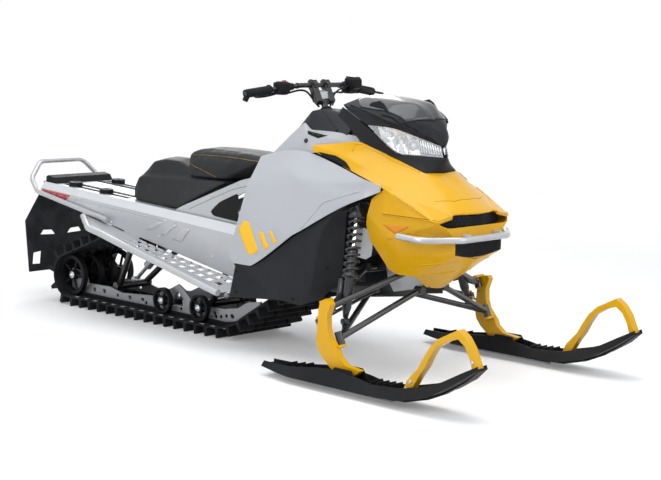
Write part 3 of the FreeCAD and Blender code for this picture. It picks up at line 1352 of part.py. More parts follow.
def riser():
    axis = steering_axis()
    top = clamp()
    pieces = []
    for sign in (-1, 1):
        at = top + vec(0, sign * RISER_Y, 0)
        pieces.append(rod(at, at - axis * RISER_HEIGHT, RISER_POST))
        pieces.append(rod(at - ACROSS * CLAMP_HALF, at + ACROSS * CLAMP_HALF, CLAMP_RADIUS))
    foot = top - axis * RISER_HEIGHT
    pieces.append(rod(foot - ACROSS * RISER_Y, foot + ACROSS * RISER_Y, RISER_POST))
    pieces.append(rod(foot, top - axis * (COLUMN_DROP + STAY_PAD), COLUMN_RADIUS))
    body = fuse(pieces)
    return body.cut(bar_space())


def controls():
    """The two switch blocks, the brake's cylinder and lever at the left, the thumb lever at the right."""
    centre = clamp() + body_point(CONTROL_SHARE)
    size = vec(CONTROL_DEPTH, CONTROL_WIDTH, CONTROL_DEPTH)
    block = Part.makeBox(size.x, size.y, size.z, centre - size * 0.5)
    thumb = bent_tube(from_clamp(THUMB_SHARES), LEVER, LEVER * 2)
    brake = bent_tube(from_clamp(BRAKE_SHARES), LEVER, LEVER * 2)
    start, end = from_clamp(CYLINDER_SHARES)
    right = fuse([block, thumb])
    left = fuse([mirror(block), brake, rod(start, end, CYLINDER)])
    return Part.makeCompound(solids([right.cut(bar_space()), left.cut(bar_space())]))


def kill_button():
    foot = clamp() + body_point(CONTROL_SHARE) + vec(0, CONTROL_WIDTH / 4, CONTROL_DEPTH / 2 + SEAT_GAP)
    return rod(foot, foot + UP * BUTTON, BUTTON)


def export(name, shape):
    shape.exportStep("parts/" + name + ".step")


def sided(name, shape):
    export(name + "_right", shape)
    export(name + "_left", mirror(shape))


def paired(name, shape):
    export(name, Part.makeCompound(solids(both(shape))))


os.makedirs("parts", exist_ok=True)
export("track", track())
paired("skid_rails", rail_side())
paired("sliders", slider_side())
export("skid_wheels", Part.makeCompound([rear_idlers(), rear_axle(), bogies(), carrier_wheels()]))
export("skid_arms", Part.makeCompound([skid_arm(FRONT_ARM_SHARES), skid_arm(REAR_ARM_SHARES)]))
export("skid_shocks", skid_shocks())
export("drive_axle", drive_axle())
export("tunnel", tunnel())
export("cargo_sockets", cargo_sockets())
export("deck_strips", deck_strips())
paired("running_boards", running_board())
paired("board_edges", board_edge())
export("rear_bumper", rear_bumper())
export("snow_flap", snow_flap())
export("tail_lights", tail_lights())
export("seat_base", seat_base())
export("seat_cushion", seat_cushion())
paired("side_frames", side_frame())
export("console", console())
paired("knee_panels", panel(KNEE_SHARES, KNEE_FACES))
paired("side_panels", panel(SIDE_SHARES, SIDE_FACES))
paired("lower_panels", panel(LOWER_SHARES, LOWER_FACES))
export("hood", hood())
export("nose", nose())
export("headlight_surround", headlight_surround())
export("headlight_lens", headlight_lens())
export("deflector", deflector())
export("grille", grille())
export("front_bumper", front_bumper())
export("engine", engine())
export("bulkhead", bulkhead())
paired("lower_arms", lower_arm())
paired("upper_arms", wishbone(HIGH_FRONT_SHARE, HIGH_REAR_SHARE, HIGH_BALL, HIGH_BARREL_HALF))
paired("front_shocks", front_shock())
paired("front_springs", front_spring())
sided("spindle", spindle())
sided("tie_rod", tie_rod())
sided("ski_blade", ski_blade())
sided("ski_loop", ski_loop())
sided("ski_runner", ski_runner())
export("handlebar", handlebar())
export("grips", grips())
export("riser", riser())
export("controls", controls())
export("kill_button", kill_button())
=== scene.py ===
import json
import math

import bmesh
import bpy
from mathutils import Matrix, Vector
from mathutils.bvhtree import BVHTree


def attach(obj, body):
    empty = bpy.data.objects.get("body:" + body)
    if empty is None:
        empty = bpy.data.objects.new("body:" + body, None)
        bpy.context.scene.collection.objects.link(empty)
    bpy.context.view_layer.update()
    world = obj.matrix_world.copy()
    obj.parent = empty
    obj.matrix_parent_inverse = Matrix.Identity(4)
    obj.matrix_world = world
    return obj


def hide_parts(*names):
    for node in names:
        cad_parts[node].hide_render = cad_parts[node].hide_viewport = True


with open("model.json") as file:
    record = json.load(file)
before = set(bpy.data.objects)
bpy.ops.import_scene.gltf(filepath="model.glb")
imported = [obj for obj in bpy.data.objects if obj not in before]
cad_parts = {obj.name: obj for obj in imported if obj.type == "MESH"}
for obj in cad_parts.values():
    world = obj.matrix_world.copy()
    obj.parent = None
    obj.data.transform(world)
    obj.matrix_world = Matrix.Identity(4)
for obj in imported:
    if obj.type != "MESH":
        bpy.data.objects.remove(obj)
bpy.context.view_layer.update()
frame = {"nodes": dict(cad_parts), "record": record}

NODES = frame["nodes"]
SIDES = (("right", 1), ("left", -1))
UP = Vector((0.0, 0.0, 1.0))

# Stage sizes and levels

FLOOR_HALF = 40.0
FLOOR_LEVEL = -0.001
FLOOR_COLOR = (0.82, 0.82, 0.82, 1.0)
FLOOR_GLOW = 0.16
FLOOR_FADE = (2.2, 4.2)
WORLD_COLOR = (0.92, 0.95, 1.0, 1.0)
WORLD_LIGHT = (0.24, 0.66)

# Camera, fitted to the photograph

LENS_PIXELS = 1484.77
PHOTO_WIDTH = 661
SENSOR_WIDTH = 36.0
CENTRE_X = 318.67
CAMERA_PLACE = (4.75096, -4.51967, 1.3135)
CAMERA_REACH = 60.0
YAW, PITCH, ROLL = (math.radians(a) for a in (134.556, -7.534, 0.826))


def linked(name, data):
    """A new object of the scene that shows this data."""
    thing = bpy.data.objects.new(name, data)
    bpy.context.scene.collection.objects.link(thing)
    return thing


def make_camera():
    data = bpy.data.cameras.new("camera")
    data.sensor_width = SENSOR_WIDTH
    data.lens = LENS_PIXELS * SENSOR_WIDTH / PHOTO_WIDTH
    data.shift_x = (PHOTO_WIDTH / 2 - CENTRE_X) / PHOTO_WIDTH
    data.clip_end = CAMERA_REACH
    ahead = Vector((math.cos(PITCH) * math.cos(YAW), math.cos(PITCH) * math.sin(YAW), math.sin(PITCH)))
    side = Vector((math.sin(YAW), -math.cos(YAW), 0.0))
    up = side.cross(ahead)
    right = side * math.cos(ROLL) + up * math.sin(ROLL)
    top = up * math.cos(ROLL) - side * math.sin(ROLL)
    camera = linked("camera", data)
    turn = Matrix((right, top, -ahead)).transposed().to_4x4()
    camera.matrix_world = Matrix.Translation(CAMERA_PLACE) @ turn
    bpy.context.scene.camera = camera


# Materials


def linear(red, green, blue):
    def channel(value):
        share = value / 255
        return share / 12.92 if share <= 0.04045 else ((share + 0.055) / 1.055) ** 2.4

    return (channel(red), channel(green), channel(blue), 1.0)


def shade(color, factor):
    return (color[0] * factor, color[1] * factor, color[2] * factor, 1.0)


def add_node(tree, kind, **sockets):
    """A new shader node, with the values of its sockets."""
    node = tree.nodes.new(kind)
    for socket, value in sockets.items():
        node.inputs[socket.replace("_", " ")].default_value = value
    return node


class Paint:
    """One procedural material: a Principled shader and the textures that vary it."""

    def __init__(self, name, color, rough, metal=0.0, **sockets):
        self.material = bpy.data.materials.new(name)
        self.material.use_nodes = True
        self.material.diffuse_color = color
        self.tree = self.material.node_tree
        self.tree.nodes.clear()
        self.out = self.new("ShaderNodeOutputMaterial")
        self.shader = self.new("ShaderNodeBsdfPrincipled", Base_Color=color, Roughness=rough,
            Metallic=metal, **sockets)
        self.link(self.shader.outputs["BSDF"], self.out.inputs["Surface"])
        self.place = self.new("ShaderNodeTexCoord").outputs["Object"]
        self.color = color

    def new(self, kind, **sockets):
        return add_node(self.tree, kind, **sockets)

    def link(self, start, end):
        self.tree.links.new(start, end)

    def noise(self, scale, detail=3.0, stretch=None):
        node = self.new("ShaderNodeTexNoise", Scale=scale, Detail=detail)
        place = self.place
        if stretch:
            mapping = self.new("ShaderNodeMapping", Scale=stretch)
            self.link(place, mapping.inputs["Vector"])
            place = mapping.outputs["Vector"]
        self.link(place, node.inputs["Vector"])
        return node.outputs["Fac"]

    def cells(self, scale):
        node = self.new("ShaderNodeTexVoronoi", Scale=scale)
        self.link(self.place, node.inputs["Vector"])
        return node.outputs["Distance"]

    def level(self, factor, low, high, start, end):
        node = self.new("ShaderNodeMapRange", From_Min=start, From_Max=end, To_Min=low, To_Max=high)
        self.link(factor, node.inputs["Value"])
        return node.outputs["Result"]

    def tone(self, factor, low, high):
        """The base colour runs from low to high times itself as the factor does."""
        node = self.new("ShaderNodeValToRGB")
        stops = ((0.35, low), (0.65, high))
        for element, (position, share) in zip(node.color_ramp.elements, stops):
            element.position = position
            element.color = shade(self.color, share)
        self.link(factor, node.inputs["Fac"])
        self.link(node.outputs["Color"], self.shader.inputs["Base Color"])

    def rough(self, factor, low, high):
        self.link(self.level(factor, low, high, 0.3, 0.7), self.shader.inputs["Roughness"])

    def bump(self, height, strength, depth):
        node = self.new("ShaderNodeBump", Strength=strength, Distance=depth)
        self.link(height, node.inputs["Height"])
        self.link(node.outputs["Normal"], self.shader.inputs["Normal"])
        return self


def gloss(name, color, coat):
    paint = Paint(name, color, 0.34, Coat_Weight=coat, Coat_Roughness=0.10, Specular_IOR_Level=0.2)
    paint.tone(paint.noise(1.6, 2.0), 0.975, 1.015)
    paint.rough(paint.noise(6.0), 0.31, 0.37)
    return paint.bump(paint.noise(420.0, 2.0), 0.08, 0.0004)


def moulded(name, color, rough, grain=900.0, depth=0.0004):
    paint = Paint(name, color, rough, Specular_IOR_Level=0.12)
    paint.tone(paint.noise(5.0), 0.90, 1.10)
    paint.rough(paint.noise(18.0), rough - 0.05, rough + 0.06)
    return paint.bump(paint.cells(grain), 0.35, depth)


def brushed(name, color, rough, stretch=(4.0, 160.0, 160.0)):
    paint = Paint(name, color, rough, 0.8)
    paint.tone(paint.noise(2.0, 6.0), 0.90, 1.06)
    paint.rough(paint.noise(9.0, 6.0, stretch), rough - 0.08, rough + 0.10)
    return paint.bump(paint.noise(9.0, 4.0, stretch), 0.12, 0.0003)


def enamel(name, color, rough, metal=0.0):
    paint = Paint(name, color, rough, metal, Coat_Weight=0.25, Coat_Roughness=0.2)
    paint.tone(paint.noise(5.0), 0.95, 1.04)
    paint.rough(paint.noise(20.0, 4.0), rough - 0.04, rough + 0.06)
    return paint.bump(paint.noise(420.0, 2.0), 0.04, 0.0003)


def rubber(name, color, rough=0.75, grain=300.0):
    paint = Paint(name, color, rough, Specular_IOR_Level=0.12)
    paint.tone(paint.noise(11.0, 8.0), 0.65, 1.5)
    paint.rough(paint.noise(60.0, 6.0), rough - 0.12, rough + 0.12)
    return paint.bump(paint.noise(grain, 6.0), 0.4, 0.0008)


def chrome(name, color, rough=0.08):
    paint = Paint(name, color, rough, 1.0)
    paint.tone(paint.noise(14.0, 2.0), 0.92, 1.03)
    paint.rough(paint.noise(40.0), rough - 0.02, rough + 0.05)
    return paint.bump(paint.noise(60.0, 2.0), 0.15, 0.0006)


BLACK = (24, 25, 27)
CHARCOAL = (36, 37, 40)
MATERIALS = {}
for name, maker, color, *values in (
        ("yellow_plastic", gloss, (216, 163, 8), 0.25),
        ("grey_plastic", gloss, (174, 177, 182), 0.35),
        ("charcoal_plastic", moulded, CHARCOAL, 0.48),
        ("dark_plastic", moulded, BLACK, 0.5),
        ("tunnel_metal", brushed, (196, 198, 201), 0.40),
        ("silver_paint", enamel, (184, 186, 189), 0.32, 0.5),
        ("black_paint", enamel, BLACK, 0.34),
        ("rail_metal", brushed, (150, 151, 154), 0.42),
        ("slider_plastic", moulded, BLACK, 0.6),
        ("track_rubber", rubber, (34, 35, 37)),
        ("seat_vinyl", moulded, (46, 47, 49), 0.50, 700.0, 0.0005),
        ("flap_rubber", rubber, (46, 48, 51), 0.58),
        ("lens_red", gloss, (190, 16, 22), 0.9),
        ("steel", brushed, (190, 192, 196), 0.26, (120.0, 120.0, 6.0)),
        ("spring_steel", enamel, BLACK, 0.3),
        ("dark_steel", enamel, CHARCOAL, 0.36, 0.3),
        ("lamp_chrome", chrome, (226, 229, 233)),
        ("lamp_tub", chrome, (120, 123, 128), 0.22),
        ("lamp_glass", gloss, (232, 236, 240), 1.0),
        ("shield_plastic", gloss, (62, 64, 67), 0.5),
        ("seam_shadow", moulded, (14, 14, 15), 0.8),
        # A lighter copy of the dark plastic for the console: its extra lightness is painted sheen
        ("console_plastic", moulded, (46, 47, 51), 0.42),
        ("vent_black", moulded, (16, 16, 18), 0.55),
        ("stripe_yellow", gloss, (240, 186, 30), 0.3),
        ("accent_orange", gloss, (222, 140, 34), 0.3),
        ("boot_rubber", rubber, (30, 31, 33), 0.65, 500.0),
        ("white_strip", gloss, (203, 205, 208), 0.2),
        ("grip_rubber", rubber, BLACK, 0.7, 500.0),
        ("stitch_thread", rubber, (206, 172, 48), 0.6),
        ("cast_metal", enamel, (70, 71, 74), 0.6, 0.6)):
    MATERIALS[name] = maker(name, linear(*color), *values)
glass = MATERIALS["lens_clear"] = Paint("lens_clear", (0.93, 0.96, 1.0, 1.0), 0.04, Alpha=0.2,
    Coat_Weight=1.0)
glass.bump(glass.noise(80.0), 0.05, 0.0003)


def dress(thing, name):
    thing.data.materials.clear()
    thing.data.materials.append(MATERIALS[name].material)


SLOTS = {part["node"]: part["material_slot"] for part in frame["record"]["subparts"]}
for node, thing in NODES.items():
    dress(thing, SLOTS[node])

# Mesh helpers

BEVEL_ANGLE = math.radians(30.0)
RIM_TURN = math.radians(14.0)
JOINT_SHAPE = math.radians(50.0)
CORNER_CREASE = 0.9
OFF_MIDDLE = 1e-6


def metres(table):
    """A nested table of millimetres as lists of metres."""
    if isinstance(table, (int, float)):
        return table / 1000
    return [metres(entry) for entry in table]


def modify(thing, kind, **values):
    modifier = thing.modifiers.new(kind.lower(), kind)
    for key, value in values.items():
        setattr(modifier, key, value)


def rounded(thing, width, segments=2):
    modify(thing, "BEVEL", width=width, segments=segments, limit_method="ANGLE", angle_limit=BEVEL_ANGLE,
        miter_outer="MITER_ARC", use_clamp_overlap=True)
    modify(thing, "WEIGHTED_NORMAL", keep_sharp=False, weight=60)


def piece(name, mesh, slot, body="chassis", node=None, material=None, bevel=0.0, segments=2):
    """An object from a mesh under construction, with its finish, riding on its body."""
    bmesh.ops.recalc_face_normals(mesh, faces=mesh.faces)
    data = bpy.data.meshes.new(name)
    mesh.to_mesh(data)
    mesh.free()
    thing = linked(name, data)
    dress(thing, material or slot)
    data.shade_smooth()
    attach(thing, body)
    if node:
        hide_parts(node)
    if bevel:
        rounded(thing, bevel, segments)
    return thing


def crease(mesh, folds):
    """Weights the folds and the rim, and keeps the rim's sharp turns as corners."""
    layer = mesh.edges.layers.float.new("crease_edge")
    points = mesh.verts.layers.float.new("crease_vert")
    mesh.verts.ensure_lookup_table()
    for vertex in mesh.verts:
        rim = [line.other_vert(vertex).co - vertex.co for line in vertex.link_edges if line.is_boundary]
        sharp = len(rim) == 2 and math.pi - rim[0].angle(rim[1]) > RIM_TURN
        if sharp and abs(vertex.co.y) > OFF_MIDDLE:
            vertex[points] = CORNER_CREASE
    for line in mesh.edges:
        if line.is_boundary and abs(line.verts[0].co.y) + abs(line.verts[1].co.y) > OFF_MIDDLE:
            line[layer] = 1.0
    for weight, run in folds:
        for a, b in zip(run, run[1:]):
            line = mesh.edges.get((mesh.verts[a], mesh.verts[b]))
            if line:
                line[layer] = weight


def panel(name, points, faces, slot, folds=(), node=None, wall=0.004, levels=3, soft=0.0012, merge=12.0,
          even=True, material=None):
    """A moulded panel from its right half: soft surfaces between crisp folds, with a rolled edge."""
    mesh = bmesh.new()
    corners = [mesh.verts.new(p) for p in points]
    for face in faces:
        mesh.faces.new([corners[k] for k in face])
    crease(mesh, folds)
    if merge:
        bmesh.ops.join_triangles(mesh, faces=mesh.faces[:], cmp_seam=False, cmp_sharp=False, cmp_uvs=False,
            cmp_vcols=False, cmp_materials=False, angle_face_threshold=math.radians(merge),
            angle_shape_threshold=JOINT_SHAPE)
    bmesh.ops.mirror(mesh, geom=mesh.verts[:] + mesh.edges[:] + mesh.faces[:], axis="Y", merge_dist=1e-4)
    thing = piece(name, mesh, slot, node=node, material=material)
    modify(thing, "SUBSURF", levels=levels, render_levels=levels)
    modify(thing, "SOLIDIFY", thickness=wall, offset=-1.0, use_even_offset=even)
    rounded(thing, soft)
    return thing


def grid(rows):
    points = [p for row in rows for p in row]
    columns = len(rows[0])
    faces = []
    for r in range(len(rows) - 1):
        for k in range(columns - 1):
            low = r * columns + k
            faces.append((low, low + columns, low + columns + 1, low + 1))
    return points, faces


# Body panels, drawn on their right half, and the dark sheets of painted shade behind their seams

SIDE = metres([(97, -335, 422), (126, -338, 387), (240, -345, 388), (301, -345, 416), (485, -342, 543),
    (529, -340, 563), (731, -320, 677), (835, -300, 718), (835, -290, 790), (494, -225, 872),
    (397, -215, 877), (296, -215, 871), (173, -225, 839), (175, -250, 802), (168, -300, 720),
    (135, -330, 545), (422, -295, 780), (660, -305, 758), (362, -348, 552), (680, -325, 701),
    (896, -264, 768), (893, -266, 745)])
SIDE_FACES = [(15, 0, 18), (0, 1, 18), (1, 2, 18), (2, 3, 18), (3, 4, 18), (18, 4, 16), (4, 5, 16),
    (5, 19, 16), (5, 6, 19), (6, 7, 19), (19, 7, 17), (7, 8, 17), (16, 19, 17), (17, 8, 9), (16, 17, 9),
    (16, 9, 10), (16, 10, 11), (16, 11, 12), (16, 12, 13), (14, 16, 13), (14, 18, 16), (15, 18, 14),
    (7, 21, 8), (21, 20, 8)]
LOWER = metres([(88, -325, 234), (397, -320, 261), (504, -310, 250), (609, -300, 287), (653, -260, 346),
    (682, -250, 373), (704, -260, 538), (712, -262, 600), (742, -292, 676), (731, -306, 684),
    (531, -325, 563), (487, -327, 543), (305, -330, 416), (240, -330, 388), (126, -323, 387),
    (586, -328, 330), (626, -331, 590)])
LOWER_FACES = [(0, 1, 14), (1, 13, 14), (1, 12, 13), (1, 15, 12), (1, 2, 15), (2, 3, 15), (3, 4, 15),
    (4, 5, 15), (15, 5, 6), (15, 6, 16), (6, 7, 16), (7, 8, 9), (7, 9, 16), (16, 9, 10), (15, 16, 10),
    (15, 10, 11), (15, 11, 12)]
HOOD = metres([
    [(484, -232, 883), (482, -225, 903), (500, -215, 905)],
    [(656, -245, 834), (700, -235, 864), (706, -188, 930)],
    [(901, -258, 762), (942, -205, 773), (873, -132, 861)],
    [(954, -258, 739), (1062, -165, 719), (974, -95, 815)],
    [(1143, -226, 644), (1150, -121, 672), (1010, -50, 800)],
])
HOOD_MIDDLE = metres([(985, 0, 812), (1190, 0, 672)])
NOSE = metres([(842, -258, 716), (901, -252, 757), (954, -252, 736), (1143, -220, 641), (1168, -190, 621),
    (1175, -143, 577), (1175, -143, 515), (1118, -58, 446), (966, -62, 358), (991, -160, 413),
    (928, -190, 417), (889, -200, 433), (875, -215, 465), (821, -240, 548), (803, -245, 607),
    (816, -255, 648), (946, -250, 562), (925, -205, 445), (1004, 0, 349), (1121, 0, 443), (1160, 0, 488),
    (1175, 0, 577), (1168, 0, 621)])
NOSE_FACES = [(15, 16, 0), (0, 16, 1), (1, 16, 2), (16, 3, 2), (16, 4, 3), (16, 5, 4), (16, 6, 5),
    (14, 16, 15), (13, 16, 14), (12, 16, 13), (12, 11, 17), (11, 10, 17), (10, 9, 17), (12, 17, 16),
    (17, 9, 16), (9, 6, 16), (9, 7, 6), (9, 8, 7), (8, 18, 19, 7), (5, 21, 22, 4), (6, 7, 20), (7, 19, 20)]
CONSOLE = metres([
    [(55.7, -130, 700), (55.7, -80, 800), (55.7, 0, 815)],
    [(190, -170, 790), (200, -115, 880), (200, 0, 890)],
    [(265, -160, 870), (290, -105, 975), (290, 0, 985)],
    [(375, -142, 945), (345, -95, 1037), (345, 0, 1045)],
    [(540, -140, 945), (475, -70, 1042), (475, 0, 1045)],
    [(600, -150, 945), (590, -90, 1000), (590, 0, 1010)],
])
KNEE = metres([(176, -207, 815), (345, -200, 858), (490, -205, 868), (529, -182, 937), (383, -172, 950),
    (359, -150, 989), (280, -150, 935), (705, -180, 920), (385, -136, 958), (535, -134, 957),
    (660, -146, 944)])
KNEE_FACES = [(0, 1, 6), (1, 5, 6), (1, 4, 5), (1, 2, 4), (2, 3, 4), (2, 7, 3), (4, 3, 9, 8), (3, 7, 10, 9),
    (5, 4, 8)]
SURROUND = metres([
    [(662, -185, 968), (588, -192, 1028), (622, -200.5, 1062)],
    [(709, -187.5, 931.2), (735, -194, 965), (748, -193, 990)],
    [(873.5, -132.5, 863.6), (868, -135.5, 872), (860, -138.5, 882)],
    [(974.5, -95.5, 816.4), (966, -62, 864), (934, -73, 879)],
    [(980, -20, 813.2), (999, -16, 866), (998, -16, 874)],
    [(981, 0, 812.2), (1000, 0, 866), (999, 0, 874)],
])
DEFLECTOR = metres([(640, -203, 1061), (630, -205, 1073), (632, -110, 1099), (638, 0, 1112),
    (752, -196.5, 997.4), (760, -191, 1042), (862, -165, 991.4), (858, -176, 1012), (802, -170, 1050),
    (800, -125, 1068), (884, -31, 1097), (884, 0, 1094), (900, -115, 1021), (932, -35, 1020),
    (936, 0, 1018), (923, -77, 954.9), (932, -79, 973), (987, -18, 920.4), (972, -56, 955), (988, 0, 919.4),
    (984, 0, 958), (955, -50, 1003)])
DEFLECTOR_FACES = [(0, 4, 5, 1), (4, 6, 7, 5), (1, 5, 9, 2), (5, 8, 9), (5, 7, 8), (2, 9, 10),
    (2, 10, 11, 3), (7, 12, 8), (8, 12, 9), (9, 12, 10), (12, 13, 10), (10, 13, 14, 11), (6, 15, 16, 7),
    (7, 16, 12), (12, 16, 21), (12, 21, 13), (16, 18, 21), (16, 15, 18), (15, 17, 18), (17, 19, 20),
    (17, 20, 18), (18, 20, 21), (21, 20, 14, 13)]
# Near-black sheets behind the seams of the side and lower panels and under the hood's edge: painted shade
# in the gaps
SEAM_SHADE_SHEET = metres([
    [(110, -316, 372), (110, -314, 425)],
    [(240, -324, 374), (236, -322, 430)],
    [(309, -324, 402), (295, -322, 458)],
    [(490, -321, 528), (475, -318, 584)],
    [(535, -319, 548), (522, -315, 604)],
    [(735, -298, 666), (720, -292, 722)],
    [(792, -276, 690), (790, -272, 750)],
])
HOOD_SHADE_SHEET = metres([
    [(492, -216, 888), (492, -210, 815)],
    [(656, -232, 842), (656, -226, 760)],
    [(900, -243, 766), (880, -240, 690)],
])

side_panel = panel("side_panel", SIDE, SIDE_FACES, "grey_plastic", node="side_panels",
    folds=[(0.95, (13, 16, 17, 8)), (0.8, (14, 18, 4)), (0.8, (16, 19, 7)), (0.5, (16, 18))])
lower_panel = panel("lower_panel", LOWER, LOWER_FACES, "charcoal_plastic", node="lower_panels",
    folds=[(0.8, (2, 15, 16, 9)), (0.5, (14, 1, 15)), (0.9, (7, 9))])
hood_points, hood_faces = grid(HOOD)
last = len(hood_points)
hood_points += HOOD_MIDDLE
hood_faces += [(last - 4, last - 1, last), (last - 1, last - 2, last + 1), (last - 1, last + 1, last)]
hood_shell = panel("hood_shell", hood_points, hood_faces, "yellow_plastic", node="hood", merge=0.0,
    folds=[(0.85, (1, 4, 7, 10, 13)), (0.7, (0, 3, 6, 9, 12)), (0.6, (14, 13, 16)), (0.6, (11, 14, 15))])
nose_shell = panel("nose_shell", NOSE, NOSE_FACES, "yellow_plastic", node="nose", merge=9.0,
    folds=[(0.8, (15, 16, 3)), (0.85, (12, 17, 9, 6)), (0.8, (16, 9)), (0.9, (9, 7)), (0.9, (4, 5, 21))])
# The console wears a lighter copy of its dark plastic, as painted sheen
console_shell = panel("console_shell", *grid(CONSOLE), "dark_plastic", node="console", merge=0.0,
    material="console_plastic", folds=[(0.7, (1, 4, 7, 10, 13, 16)), (0.8, (9, 10, 11))])
knee_panel = panel("knee_panel", KNEE, KNEE_FACES, "grey_plastic", node="knee_panels",
    folds=[(0.8, (1, 4, 5)), (0.9, (4, 3, 7))])
panel("lamp_surround", *grid(SURROUND), "charcoal_plastic", node="headlight_surround", merge=0.0,
    even=False, folds=[(0.9, (1, 4, 7, 10, 13, 16))])
wind_deflector = panel("wind_deflector", DEFLECTOR, DEFLECTOR_FACES, "charcoal_plastic", node="deflector",
    merge=6.0, even=False, folds=[(0.9, (1, 5, 7, 16, 18, 17)), (0.9, (2, 9, 8, 7)), (0.8, (9, 10)),
    (0.8, (8, 12, 13, 14)), (0.8, (16, 21, 20)), (0.7, (10, 13)), (0.7, (5, 9))])
# The sheets behind the seams are painted shade, in the near-black seam_shadow material
for name, rows in (("seam_liner", SEAM_SHADE_SHEET), ("hood_liner", HOOD_SHADE_SHEET)):
    panel(name, *grid(rows), "charcoal_plastic", merge=0.0, wall=0.002, levels=1, material="seam_shadow")

NODE_BEVEL = 0.0012
for node, thing in NODES.items():
    if not thing.hide_render and node != "headlight_lens":
        modify(thing, "WELD", merge_threshold=1e-5)
        thing.data.shade_smooth()
        rounded(thing, NODE_BEVEL)

# Turned, swept and lofted forms


def bridge(mesh, rings, ends=True):
    """Faces between rings of points that follow each other, and over the first and last one."""
    for a, b in zip(rings, rings[1:]):
        for k in range(max(len(a), len(b))):
            corners = [a[k % len(a)], a[(k + 1) % len(a)], b[(k + 1) % len(b)], b[k % len(b)]]
            unique = list(dict.fromkeys(corners))
            if len(unique) > 2:
                mesh.faces.new(unique)
    for ring in (rings[0], rings[-1]):
        if ends and len(ring) > 1:
            mesh.faces.new(ring)


def lathe(mesh, profile, place, axis, steps=20):
    """Adds a turned form from (radius, height) pairs along an axis."""
    turn = UP.rotation_difference(Vector(axis)).to_matrix().to_4x4()
    matrix = Matrix.Translation(place) @ turn
    rings = []
    for radius, height in profile:
        angles = [2 * math.pi * k / steps for k in range(steps)] if radius else [0.0]
        spots = [Vector((radius * math.cos(a), radius * math.sin(a), height)) for a in angles]
        rings.append([mesh.verts.new(matrix @ spot) for spot in spots])
    bridge(mesh, rings)


def button(mesh, place, axis, radius, height):
    """Adds a bolt's head with a recess."""
    lathe(mesh, [(radius, 0), (radius, 0.35 * height), (0.8 * radius, 0.85 * height),
        (0.35 * radius, height), (0.3 * radius, 0.6 * height), (0, 0.6 * height)], place, axis, 12)


def slab(mesh, outline, low, high, axis=1):
    """Adds a prism of an outline, carried along an axis from low to high."""
    rings = []
    for level in (low, high):
        ring = []
        for a, b in outline:
            point = [a, b]
            point.insert(axis, level)
            ring.append(mesh.verts.new(point))
        rings.append(ring)
    bridge(mesh, rings)


def plates(name, outline, near, far, slot, bevel, segments=2):
    """The same plate on both sides, between two distances from the middle plane."""
    mesh = bmesh.new()
    for _, sign in SIDES:
        slab(mesh, metres(outline), *sorted((-near * sign, -far * sign)))
    piece(name, mesh, slot, bevel=bevel, segments=segments)


def tree_of(thing):
    bpy.context.view_layer.update()
    return BVHTree.FromObject(thing, bpy.context.evaluated_depsgraph_get())


# Films, beads and screens that lie on a panel, with their outlines and runs in millimetres

AIM = (-0.6955, 0.7064, -0.1311)
FRONT = (-1.0, 0.0, 0.0)
ACROSS = (0.0, 1.0, 0.0)
DOWN = (0.0, 0.0, -1.0)
CAST = 0.25
FILM_ROUNDS = 5
FILM_JOIN = 0.0004
BEAD_STEP = 0.01
BEAD_SINK = 0.0008
BEAD_CROWN = 0.45
SCREEN_START = 1.17
SCREEN_LIFT = 0.003
SHELF_ROWS = 5
SHELF_PARTS = 4


def lie(tree, place, way, lift):
    """The spot that a place has when it is carried along a way on to a surface, and the normal there."""
    spot, normal, _, _ = tree.ray_cast(place - way * CAST, way, 2 * CAST)
    if spot is None:
        spot, normal, _, _ = tree.find_nearest(place)
    if normal.dot(way) > 0:
        normal = -normal
    return spot + normal * lift, normal


def flipped(place, sign):
    return Vector((place[0], place[1] * sign, place[2]))


def film(name, target, outlines, slot, material=None, way=AIM, lift=0.0006, deep=0.0008, cell=0.016,
         whole=False):
    """Thin plates that follow a panel inside their outlines, one piece a side or one for the whole."""
    tree = tree_of(target)
    made = []
    mesh = bmesh.new()
    for side, sign in SIDES:
        start = set(mesh.verts)
        for outline in metres(outlines):
            mesh.faces.new([mesh.verts.new(flipped(p, sign)) for p in outline])
        bmesh.ops.triangulate(mesh, faces=mesh.faces[:])
        for _ in range(FILM_ROUNDS):
            wide = [line for line in mesh.edges if line.calc_length() > cell]
            if not wide:
                break
            bmesh.ops.subdivide_edges(mesh, edges=wide, cuts=1)
            bmesh.ops.triangulate(mesh, faces=mesh.faces[:])
        along = flipped(way, sign)
        for vertex in mesh.verts:
            if vertex not in start:
                vertex.co = lie(tree, vertex.co.copy(), along, lift)[0]
        if not whole:
            made.append(piece(f"{name}_{side}", mesh, slot, material=material))
            mesh = bmesh.new()
    if whole:
        bmesh.ops.remove_doubles(mesh, verts=mesh.verts[:], dist=FILM_JOIN)
        made.append(piece(name, mesh, slot, material=material))
    for thing in made:
        modify(thing, "SOLIDIFY", thickness=deep, offset=0.0)


